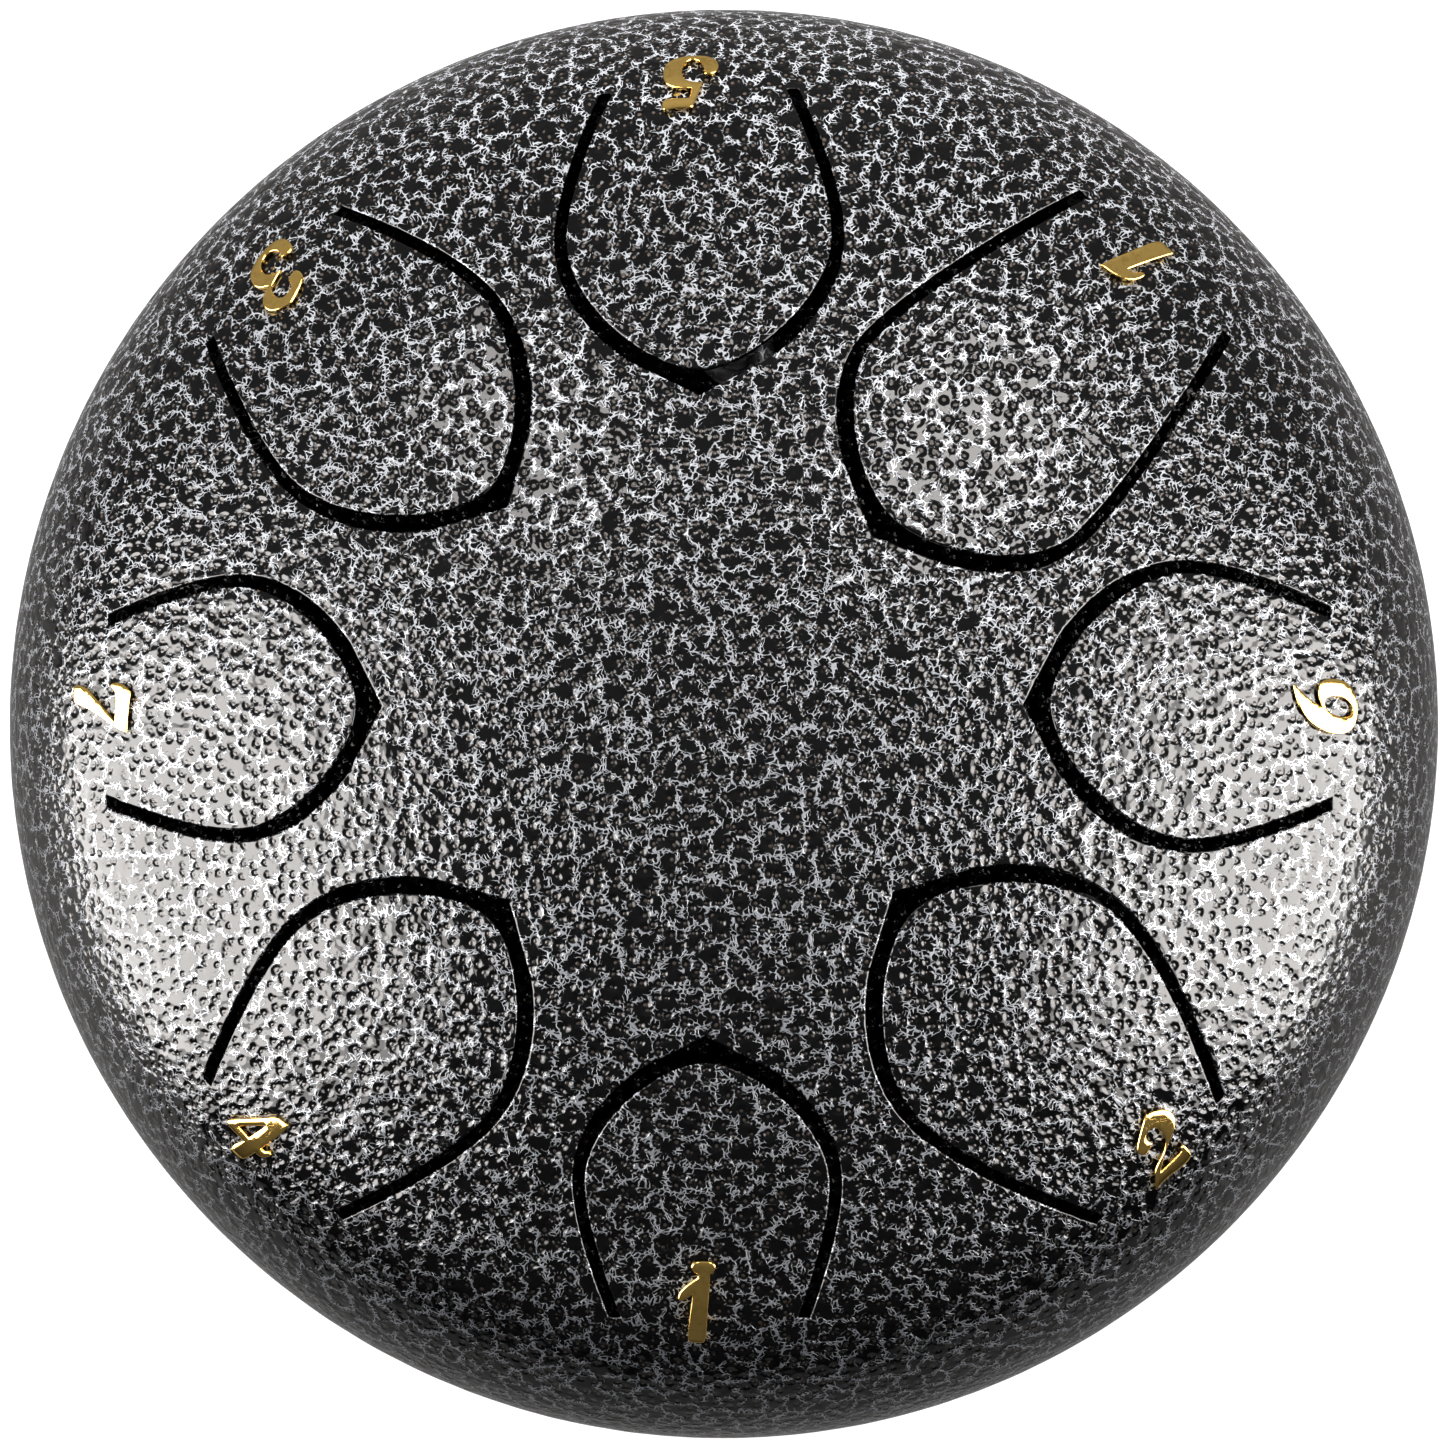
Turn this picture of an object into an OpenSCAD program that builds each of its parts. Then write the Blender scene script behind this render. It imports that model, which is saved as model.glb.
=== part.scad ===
// Steel tongue drum with eight notes.
// Two domes of painted steel sheet are welded at the rim. Eight tongues are cut out of the upper dome,
// and each has a stuck-on number at its root. The drum stands on three rubber feet.
// Origin: centre of the feet's plane, on the drum's own axis. +Z is up, tongue 6 points along +X and
// tongue 5 along +Y.

/* [Domes] */
// Diameter of the drum
drum_d = 155; // [140:1:190]
// Outer radius of the shallow crown
crown_r = 180; // [150:1:230]
// Outer radius of the round shoulder
shoulder_r = 26; // [20:0.5:32]
// Height of the straight wall of each dome
wall_h = 5; // [3:0.5:20]
// Thickness of the steel sheet
sheet_t = 1.5; // [1:0.1:2]
// Diameter of the sound hole in the lower dome
sound_hole_d = 40; // [20:1:56]

/* [Rim weld] */
// Gap between the two domes that the weld fills
weld_gap = 1; // [0.6:0.1:2]
// How far the weld stands out of the wall
weld_proud = 0.3; // [0.1:0.1:0.5]

/* [Slots] */
// Width of the slots
slot_w = 1.25; // [0.8:0.05:1.6]
// Length of the flexing root, from the slot ends to the line that a tongue turns on
flexure_l = 6.5; // [6:0.1:8]
// Running gap between the upper dome and a tongue, at that line
flexure_gap = 0.06; // [0.05:0.01:0.1]

/* [Tongue 1] */
// Distance from the drum's axis to the slot's point
tip_1 = 24.2; // [23:0.1:33]
// Distance from the rim to the slot ends
root_in_1 = 11.8; // [10:0.1:16]
// Half width of the slot at its widest, to its outer edge
belly_1 = 15.6; // [12:0.1:16]
// Distance from the slot's point to its widest place
shoulder_1 = 15; // [13:0.1:19]
// Half width of the slot at its ends, to its outer edge
root_half_1 = 11.1; // [9:0.1:12]

/* [Tongue 2] */
// Distance from the drum's axis to the slot's point
tip_2 = 27.1; // [23:0.1:33]
// Distance from the rim to the slot ends
root_in_2 = 11.7; // [10:0.1:16]
// Half width of the slot at its widest, to its outer edge
belly_2 = 15.7; // [12:0.1:16]
// Distance from the slot's point to its widest place
shoulder_2 = 18; // [13:0.1:19]
// Half width of the slot at its ends, to its outer edge
root_half_2 = 9.4; // [9:0.1:12]

/* [Tongue 3] */
// Distance from the drum's axis to the slot's point
tip_3 = 28.6; // [23:0.1:33]
// Distance from the rim to the slot ends
root_in_3 = 12.6; // [10:0.1:16]
// Half width of the slot at its widest, to its outer edge
belly_3 = 14.9; // [12:0.1:16]
// Distance from the slot's point to its widest place
shoulder_3 = 18.6; // [13:0.1:19]
// Half width of the slot at its ends, to its outer edge
root_half_3 = 10.2; // [9:0.1:12]

/* [Tongue 4] */
// Distance from the drum's axis to the slot's point
tip_4 = 28.2; // [23:0.1:33]
// Distance from the rim to the slot ends
root_in_4 = 13.1; // [10:0.1:16]
// Half width of the slot at its widest, to its outer edge
belly_4 = 14.9; // [12:0.1:16]
// Distance from the slot's point to its widest place
shoulder_4 = 18.2; // [13:0.1:19]
// Half width of the slot at its ends, to its outer edge
root_half_4 = 10.4; // [9:0.1:12]

/* [Tongue 5] */
// Distance from the drum's axis to the slot's point
tip_5 = 31.7; // [28:0.1:36]
// Distance from the rim to the slot ends
root_in_5 = 12.6; // [10:0.1:16]
// Half width of the slot at its widest, to its outer edge
belly_5 = 15; // [12:0.1:16]
// Distance from the slot's point to its widest place
shoulder_5 = 17; // [13:0.1:19]
// Half width of the slot at its ends, to its outer edge
root_half_5 = 10.4; // [9:0.1:12]

/* [Tongue 6] */
// Distance from the drum's axis to the slot's point
tip_6 = 32.4; // [28:0.1:36]
// Distance from the rim to the slot ends
root_in_6 = 13.2; // [10:0.1:16]
// Half width of the slot at its widest, to its outer edge
belly_6 = 14.9; // [12:0.1:16]
// Distance from the slot's point to its widest place
shoulder_6 = 17; // [13:0.1:19]
// Half width of the slot at its ends, to its outer edge
root_half_6 = 10.5; // [9:0.1:12]

/* [Tongue 7] */
// Distance from the drum's axis to the slot's point
tip_7 = 33.1; // [28:0.1:36]
// Distance from the rim to the slot ends
root_in_7 = 14.5; // [10:0.1:16]
// Half width of the slot at its widest, to its outer edge
belly_7 = 13.8; // [12:0.1:16]
// Distance from the slot's point to its widest place
shoulder_7 = 15.6; // [13:0.1:19]
// Half width of the slot at its ends, to its outer edge
root_half_7 = 10.1; // [9:0.1:12]

/* [Tongue high 1] */
// Distance from the drum's axis to the slot's point
tip_high_1 = 33.7; // [28:0.1:36]
// Distance from the rim to the slot ends
root_in_high_1 = 14.7; // [10:0.1:16]
// Half width of the slot at its widest, to its outer edge
belly_high_1 = 13.8; // [12:0.1:16]
// Distance from the slot's point to its widest place
shoulder_high_1 = 15; // [13:0.1:19]
// Half width of the slot at its ends, to its outer edge
root_half_high_1 = 10.4; // [9:0.1:12]

/* [Numbers] */
// Height of a number
number_h = 7.5; // [6:0.1:9]
// Thickness of a number
number_t = 0.45; // [0.3:0.05:0.8]
// Radius that the numbers are bent to
number_bend_r = 40; // [30:1:60]
// Adhesive film between the sheet and a number
adhesive_t = 0.1; // [0.05:0.05:0.2]

/* [Feet] */
// Distance from the drum's axis to each foot, at the sheet
foot_r = 46; // [38:0.5:48]
// Height of the lower dome's lowest point above the feet's plane
foot_clear = 4; // [3:0.5:10]
// Diameter of a foot at the sheet
foot_top_d = 18; // [14:0.5:20]
// Diameter of a foot at its far end
foot_end_d = 15.5; // [13:0.5:19]
// Rubber between the sheet and the washer
foot_pad_t = 4; // [3:0.5:5]
// Gap between the sheet and a foot's flat seat
seat_gap = 0.05; // [0.02:0.01:0.1]

/* [Fasteners] */
// Diameter of the screws' thread
screw_d = 4; // [3:0.5:5]
// Gap round the screws in the nuts
thread_gap = 0.05; // [0.03:0.01:0.1]
// Gap round the screws in the sheet, the feet and the washers
screw_play = 0.2; // [0.1:0.05:0.4]
// Thickness of the washers
washer_t = 0.8; // [0.5:0.1:1]

/* [Hidden] */
$fn = 96;

// Domes: a crown arc and a shoulder arc that meet tangentially
drum_r = drum_d / 2;
shoulder_x = drum_r - shoulder_r;
crown_drop = sqrt(pow(crown_r - shoulder_r, 2) - pow(shoulder_x, 2));
tangent_a = asin(shoulder_x / (crown_r - shoulder_r));
dome_h = wall_h - crown_drop + crown_r;
seam_z = foot_clear + dome_h;
far = 2 * drum_d;

// Tongues: name, direction, tip, distance of the slot ends from the drum's axis, belly, shoulder and
// root half width, then how far inside the slot ends and to the side the hand-placed number sits
NOTES = [
    ["6", 0, tip_6, drum_r - root_in_6, belly_6, shoulder_6, root_half_6, 0.8, 0.1],
    ["1", 45, tip_1, drum_r - root_in_1, belly_1, shoulder_1, root_half_1, 1.2, 1.4],
    ["5", 91, tip_5, drum_r - root_in_5, belly_5, shoulder_5, root_half_5, -0.9, 0.9],
    ["3", 135, tip_3, drum_r - root_in_3, belly_3, shoulder_3, root_half_3, 0.8, -0.3],
    ["7", 180, tip_7, drum_r - root_in_7, belly_7, shoulder_7, root_half_7, -0.4, -0.3],
    ["4", 225, tip_4, drum_r - root_in_4, belly_4, shoulder_4, root_half_4, 0, -1.8],
    ["high_1", 270, tip_high_1, drum_r - root_in_high_1, belly_high_1, shoulder_high_1, root_half_high_1,
        0.9, -1.5],
    ["2", 315, tip_2, drum_r - root_in_2, belly_2, shoulder_2, root_half_2, 1.2, 0.7]];
curve_steps = 7;

// Numbers: outlines on a grid ten high, slanted to the right, and the counters cut out of 4 and 6
glyph_steps = 4;
glyph_reach = 3;
FIGURES = [
    ["1", [[3.2, 10.1, 1], [3.2, 9.6], [1.6, 5], [0.2, 0.3], [-0.9, 0], [-2.7, 0, 1], [0.1, 7.6, 1],
        [-0.6, 7.7], [-1.5, 6.3], [-2.3, 6.3], [-1.7, 8.3], [0.4, 9.9]], []],
    ["2", [[2, 10.1, 1], [4.8, 8.9], [4.5, 5.7], [0.2, 4.1], [-2.1, 2.1, 1], [1.8, 2, 1], [2.2, 2.6],
        [2.8, 2.6], [2.6, 0], [0.4, 0], [-2, 0.6], [-4.4, 0.4, 1], [-3.6, 1.6], [-2.4, 3.2], [0.5, 4.1],
        [2.1, 6.1],
        [1.6, 8.1], [0.2, 8.1], [-0.6, 7.2], [-0.1, 6.4, 1], [-1.2, 5.8], [-2.4, 6], [-2.6, 7.6]], []],
    ["3", [[1.4, 10, 1], [4.4, 9.3], [4.6, 6], [2.1, 5.2, 1], [3.7, 4.3], [3, 1], [-1, -0.4], [-4.3, 0.2],
        [-4.5, 3.1], [-3, 3.7], [-2.1, 3.2, 1], [-2.6, 2.1], [-1.6, 0.8], [0.4, 0.9], [1.5, 3], [0.3, 4.5],
        [-0.8, 4.8, 1], [0.6, 5.2], [2.3, 6], [2.3, 8.3], [0.6, 8.5], [-0.4, 8.2], [-0.5, 7.1, 1],
        [-1.6, 6.3], [-2.7, 7], [-2.2, 8.9]], []],
    ["4", [[2, 10, 1], [2.1, 8.2], [1.4, 4.2, 1], [2, 4.2], [2.4, 4.9], [3.1, 4.8, 1], [2.9, 2.9],
        [1.2, 2.9, 1], [0.9, 0.9], [0.3, 0.1], [-1.5, 0, 1], [-2.1, 0.6], [-1.1, 2.8, 1], [-3.7, 2.6, 1],
        [-4.7, 2.7],
        [-4.6, 3.5], [-1, 8.4], [0.1, 9.9]],
        [[-0.3, 7.4, 1], [-0.9, 3.9, 1], [-3, 3.9, 1]]],
    ["5", [[-0.3, 9.8, 1], [2.6, 9.7], [3.9, 10.2], [3.9, 8.2], [2.4, 8.1], [0.1, 8.2, 1], [-0.2, 6.5, 1],
        [3.7, 6.6], [3.9, 1.2], [0.4, -0.2], [-3.2, 0.3], [-4.2, 2.3], [-3.2, 4.1], [-2, 3.8, 1],
        [-1.8, 1.2], [0.4, 0.6], [1.4, 3.3], [0.5, 5.4], [-1.8, 5.4, 1]], []],
    ["6", [[2.8, 10, 1], [-1, 9.4], [-3.9, 5], [-3.6, 0.6], [0.3, -0.5], [3.7, 1.2], [4, 5.6], [1.8, 6.6],
        [-0.1, 5.7, 1], [1, 8], [2.9, 9.6, 1]],
        [[1.4, 5.1], [1.5, 2.3], [-0.2, 0.4], [-1.5, 1.2], [-1.1, 4.2], [0.2, 5.4]]],
    ["7", [[-2.1, 9.9, 1], [0.2, 9.5], [3.5, 9.3, 1], [3.5, 8.4], [0.6, 4.1], [-0.7, 0.3], [-1.4, 0],
        [-3.1, 0, 1], [-3.5, 0.5], [-2.6, 3.2], [1.9, 7.3, 1], [-1.9, 7.8], [-2.8, 6.6], [-3.5, 6.7],
        [-3.4, 8.7]], []],
    ["high_1", [[2.2, 10.5, 1], [1.9, 4.6], [1.6, 0.2], [1, 0], [-0.5, 0], [-1.1, 0.6], [-0.2, 7.4, 1],
        [-1.4, 6.5], [-2.4, 6.5], [-1.7, 8.5], [0.5, 10, 1], [0.5, 10.5, 1], [-0.5, 10.9], [-0.3, 12.4],
        [2.9, 12.4], [2.9, 10.8]], []]];

// Feet: name and direction
FEET = [["back", 90], ["left", 210], ["right", 330]];
foot_tilt = asin(foot_r / crown_r);
foot_lift = foot_clear + crown_r - sqrt(pow(crown_r, 2) - pow(foot_r, 2));
foot_l = (foot_lift + foot_top_d / 2 * sin(foot_tilt)) / cos(foot_tilt) + 1;
head_r = 0.9 * screw_d;
head_h = 0.6 * screw_d;
washer_r = head_r + 0.35;
pad_z = -seat_gap - foot_pad_t;
head_z = pad_z - washer_t;
drive_w = 0.22 * screw_d;
drive_depth = 0.55 * head_h;
nut_af = 1.75 * screw_d;
nut_h = 0.8 * screw_d;
nut_washer_r = nut_af / 2 + 1;
nut_washer_z = sheet_t + 2 * seat_gap;
nut_z = nut_washer_z + washer_t;
screw_end_z = nut_z + nut_h + 1;

// Height of the outer surface above the seam, at a distance r from the axis
function dome_z(r) = r < crown_r * sin(tangent_a)
    ? sqrt(pow(crown_r, 2) - pow(r, 2)) - crown_drop + wall_h
    : sqrt(pow(shoulder_r, 2) - pow(r - shoulder_x, 2)) + wall_h;

// Slope of the outer surface at a distance r from the axis
function dome_slope(r) = r < crown_r * sin(tangent_a)
    ? asin(r / crown_r)
    : asin((r - shoulder_x) / shoulder_r);

// Point of a cubic curve with the control points p
function cubic(p, t) = pow(1 - t, 3) * p[0] + 3 * pow(1 - t, 2) * t * p[1]
    + 3 * (1 - t) * pow(t, 2) * p[2] + pow(t, 3) * p[3];

// Points of that curve, without its first one
function cubic_points(p) = [for (i = [1:curve_steps]) cubic(p, i / curve_steps)];

// Closed outline from the half that runs from the tip to the root
function both_sides(half) = concat(half, [for (i = [len(half) - 1:-1:1]) [half[i].x, -half[i].y]]);

// Straight leg from the belly to the root, which narrows more and more over the shoulder
function leg(belly_x, belly, root_x, root) = cubic_points([
    [belly_x, belly],
    [belly_x + 0.3 * (root_x - belly_x), belly],
    [root_x - 0.27 * (root_x - belly_x), root + 0.4 * (belly - root)],
    [root_x, root]]);

// Outer edge of a slot: a point, two straight flanks, round shoulders and the legs
function slot_outline(n) =
    let (tip = n[2], belly = n[4], reach = n[5], flank = [tip + 0.21 * reach, 0.46 * belly])
    both_sides(concat(
        [[tip, 0], flank],
        cubic_points([
            flank,
            [tip + 0.38 * reach, 0.75 * belly],
            [tip + 0.66 * reach, belly],
            [tip + reach, belly]]),
        leg(tip + reach, belly, n[3], n[6])));

// Edge of a tongue: a round tip, and legs one slot inside the outer edge
function tongue_outline(n) =
    let (tip = n[2] + 2.2 * slot_w, belly = n[4] - slot_w, end = n[2] + n[5])
    both_sides(concat(
        [[tip, 0]],
        cubic_points([[tip, 0], [tip, 0.38 * belly], [n[2] + 0.6 * n[5], belly], [end, belly]]),
        leg(end, belly, n[3], n[6] - slot_w),
        [[drum_r, n[6] - slot_w]]));

// Outline of a number from control points on a grid ten high: the third value marks a corner,
// and all other points are the controls of a smooth curve
function glyph(c) = [
    for (i = [0:len(c) - 1])
        let (
            p = [c[i].x, c[i].y],
            before = c[(i + len(c) - 1) % len(c)],
            after = c[(i + 1) % len(c)],
            a = before[2] == 1 ? [before.x, before.y] : ([before.x, before.y] + p) / 2,
            b = after[2] == 1 ? [after.x, after.y] : ([after.x, after.y] + p) / 2,
            last = after[2] == 1 ? glyph_steps - 1 : glyph_steps)
        each c[i][2] == 1 ? [p] : [for (k = [1:last]) bow(a, p, b, k / glyph_steps)]];

// Point of a quadratic curve from a to b with the control p
function bow(a, p, b, t) = pow(1 - t, 2) * a + 2 * t * (1 - t) * p + pow(t, 2) * b;

// Distance of a tongue's turning line from the axis
function turn_r(n) = n[3] - flexure_l;

// How far the dome falls away under its tangent plane at a distance r from the axis, e further in
function dome_fall(r, e) =
    let (a = dome_slope(r), inner_r = r - e * cos(a))
    (r - inner_r) * sin(a) - (dome_z(inner_r) - dome_z(r)) * cos(a);

// How far a number is raised where the dome is too flat for its bend, so that no end cuts into it
function number_lift(r, top) = max([0, for (e = [-number_h / 2, top])
    number_bend_r - sqrt(pow(number_bend_r, 2) - pow(e, 2)) - dome_fall(r, e) - adhesive_t / 2]);

// Half of a dome's section, grown by d on every side but the axis
module dome_section(d) {
    tangent_x = (crown_r + d) * sin(tangent_a);
    intersection() {
        translate([0, wall_h - crown_drop]) circle(crown_r + d, $fn = 360);
        square([tangent_x, far]);
    }
    intersection() {
        union() {
            intersection() {
                translate([shoulder_x, wall_h]) circle(shoulder_r + d);
                translate([0, wall_h]) square(far);
            }
            square([drum_r + d, wall_h]);
        }
        translate([tangent_x, 0]) square(far);
    }
}

// Layer over the upper dome between two distances from its outer surface
module dome_layer(inner, outer) {
    translate([0, 0, seam_z])
        rotate_extrude($fn = 180)
            difference() {
                dome_section(outer);
                dome_section(inner);
                square([far, weld_gap / 2]);
            }
}

// Upright column over an outline that lies in plan, turned to a tongue's direction
module column(n, outline) {
    rotate(n[1]) translate([0, 0, seam_z]) linear_extrude(far) polygon(outline);
}

// Block that holds everything outside or inside a tongue's turning line, at a distance d from it
module beyond_turn(n, d) {
    rotate(n[1]) translate([turn_r(n) + d, -far / 2, seam_z]) cube([far, far, far]);
}

// Upper dome with the slots cut out of it
module top_shell() {
    color([0.12, 0.12, 0.13])
        difference() {
            dome_layer(-sheet_t, 0);
            for (n = NOTES) slot_cut(n);
        }
}

// What a slot and its tongue take out of the upper dome
module slot_cut(n) {
    difference() {
        column(n, slot_outline(n));
        intersection() {
            column(n, tongue_outline(n));
            beyond_turn(n, flexure_gap / 2);
        }
    }
}

// Tongue, inside its turning line
module tongue(n) {
    color([0.2, 0.2, 0.22])
        difference() {
            intersection() {
                dome_layer(-sheet_t, 0);
                column(n, tongue_outline(n));
            }
            beyond_turn(n, -flexure_gap / 2);
        }
}

// Lower dome with the sound hole and the holes for the feet's screws
module bottom_shell() {
    color([0.1, 0.1, 0.11])
        difference() {
            translate([0, 0, 2 * seam_z]) mirror([0, 0, 1]) dome_layer(-sheet_t, 0);
            cylinder(r = sound_hole_d / 2, h = seam_z);
            for (f = FEET)
                at_foot(f)
                    translate([0, 0, -sheet_t]) cylinder(r = screw_d / 2 + screw_play, h = 3 * sheet_t);
        }
}

// Weld bead that fills the gap between the domes
module rim_weld() {
    color([0.16, 0.16, 0.17])
        translate([0, 0, seam_z])
            rotate_extrude($fn = 180)
                union() {
                    translate([drum_r - sheet_t, -weld_gap / 2]) square([sheet_t, weld_gap]);
                    intersection() {
                        translate([drum_r + weld_proud - weld_gap / 2, 0]) circle(weld_gap / 2, $fn = 48);
                        translate([drum_r, -weld_gap]) square(2 * weld_gap);
                    }
                }
}

// Number that is stuck on at a tongue's root, with its top towards the drum's axis
module number(n) {
    figure = [for (f = FIGURES) if (f[0] == n[0]) f][0];
    grid = number_h / 10;
    place = n[3] - n[7];
    top = grid * (max([for (p = figure[1]) p.y]) - 5);
    color([0.83, 0.66, 0.3])
        rotate(n[1] + atan(n[8] / place))
            translate([place, 0, seam_z + dome_z(place)]) rotate([0, dome_slope(place), 0])
                translate([0, 0, number_lift(place, top)]) intersection() {
                    bent_plate();
                    rotate(90) translate([0, -5 * grid, -glyph_reach]) linear_extrude(2 * glyph_reach)
                        difference() {
                            polygon(grid * glyph(figure[1]));
                            if (len(figure[2]) > 0) polygon(grid * glyph(figure[2]));
                        }
                }
}

// Plate that the numbers are cut from, bent to lie along the shoulder of the dome
module bent_plate() {
    translate([0, 0, adhesive_t - number_bend_r]) rotate([90, 0, 0])
        difference() {
            cylinder(r = number_bend_r + number_t, h = 2 * number_h, center = true);
            cylinder(r = number_bend_r, h = 3 * number_h, center = true);
        }
}

// Frame of a foot: on the lower dome's outer surface, with Z square to it and into the drum
module at_foot(f) {
    rotate(f[1]) translate([foot_r, 0, foot_lift]) rotate([0, -foot_tilt, 0]) children();
}

// Washer with a hole for the screw
module washer(r) {
    difference() {
        cylinder(r = r, h = washer_t);
        translate([0, 0, -washer_t]) cylinder(r = screw_d / 2 + screw_play, h = 3 * washer_t);
    }
}

// Tapered rubber foot, recessed for its screw and cut level at the plane it stands on
module foot(f) {
    color([0.06, 0.06, 0.06])
        difference() {
            at_foot(f) difference() {
                translate([0, 0, -foot_l])
                    cylinder(r1 = foot_end_d / 2, r2 = foot_top_d / 2, h = foot_l - seat_gap);
                translate([0, 0, -foot_l]) cylinder(r = screw_d / 2 + screw_play, h = 2 * foot_l);
                translate([0, 0, pad_z - foot_l]) cylinder(r = washer_r + screw_play, h = foot_l);
            }
            translate([-drum_d, -drum_d, -drum_d]) cube([2 * drum_d, 2 * drum_d, drum_d]);
        }
}

// Pan head screw with a cross recess, from under a foot's washer to just beyond its nut
module foot_screw() {
    translate([0, 0, head_z]) cylinder(r = screw_d / 2, h = screw_end_z - head_z);
    difference() {
        intersection() {
            translate([0, 0, head_z - head_h]) cylinder(r = head_r, h = head_h);
            translate([0, 0, head_z + head_r - 0.15 * head_h]) sphere(r = 1.35 * head_r);
        }
        for (turn = [0, 90])
            rotate(turn) translate([-0.6 * head_r, -drive_w / 2, head_z - 2 * head_h])
                cube([1.2 * head_r, drive_w, head_h + drive_depth]);
    }
}

// Hexagon nut
module nut() {
    difference() {
        cylinder(r = nut_af / 2 / cos(30), h = nut_h, $fn = 6);
        translate([0, 0, -nut_h]) cylinder(r = screw_d / 2 + thread_gap, h = 3 * nut_h);
    }
}

module foot_screws() {
    color([0.75, 0.75, 0.77]) for (f = FEET) at_foot(f) foot_screw();
}

module foot_washers() {
    color([0.7, 0.7, 0.72]) for (f = FEET) at_foot(f) translate([0, 0, head_z]) washer(washer_r);
}

module nut_washers() {
    color([0.7, 0.7, 0.72]) for (f = FEET) at_foot(f) translate([0, 0, nut_washer_z]) washer(nut_washer_r);
}

module foot_nuts() {
    color([0.72, 0.72, 0.74]) for (f = FEET) at_foot(f) translate([0, 0, nut_z]) nut();
}

top_shell();
bottom_shell();
rim_weld();
for (n = NOTES) tongue(n);
for (n = NOTES) number(n);
for (f = FEET) foot(f);
foot_screws();
foot_washers();
nut_washers();
foot_nuts();
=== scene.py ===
"""Steel tongue drum with eight notes: the visible pieces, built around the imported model.

Sizes in the classes are millimetres, in the frame of the model. Meshes are written in metres.
"""

import logging
import math
from dataclasses import dataclass, field
from enum import Enum

import bmesh
import bpy
import numpy as np
from mathutils import Matrix, Vector, noise
from mathutils.geometry import delaunay_2d_cdt


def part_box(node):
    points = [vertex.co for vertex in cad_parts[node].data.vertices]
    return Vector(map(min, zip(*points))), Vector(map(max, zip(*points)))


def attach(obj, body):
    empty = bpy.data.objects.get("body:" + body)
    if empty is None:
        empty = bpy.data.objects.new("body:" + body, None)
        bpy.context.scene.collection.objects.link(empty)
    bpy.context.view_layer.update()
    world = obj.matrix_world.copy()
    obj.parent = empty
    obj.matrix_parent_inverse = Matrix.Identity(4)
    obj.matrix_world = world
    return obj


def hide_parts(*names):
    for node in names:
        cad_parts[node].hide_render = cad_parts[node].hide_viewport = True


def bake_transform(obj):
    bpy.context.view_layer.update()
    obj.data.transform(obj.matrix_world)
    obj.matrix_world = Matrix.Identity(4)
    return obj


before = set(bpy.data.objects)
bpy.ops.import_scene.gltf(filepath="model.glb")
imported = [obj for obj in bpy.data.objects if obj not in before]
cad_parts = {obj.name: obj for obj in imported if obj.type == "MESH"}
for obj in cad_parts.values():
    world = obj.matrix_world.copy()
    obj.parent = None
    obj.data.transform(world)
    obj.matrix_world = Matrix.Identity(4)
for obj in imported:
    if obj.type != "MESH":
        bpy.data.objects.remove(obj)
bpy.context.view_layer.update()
MM = 0.001
DRUM = "drum"
FULL_TURN = 2 * math.pi
Colour = tuple[float, float, float, float]
log = logging.getLogger("tongue_drum")


# ---------------------------------------------------------------- node helpers


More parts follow.
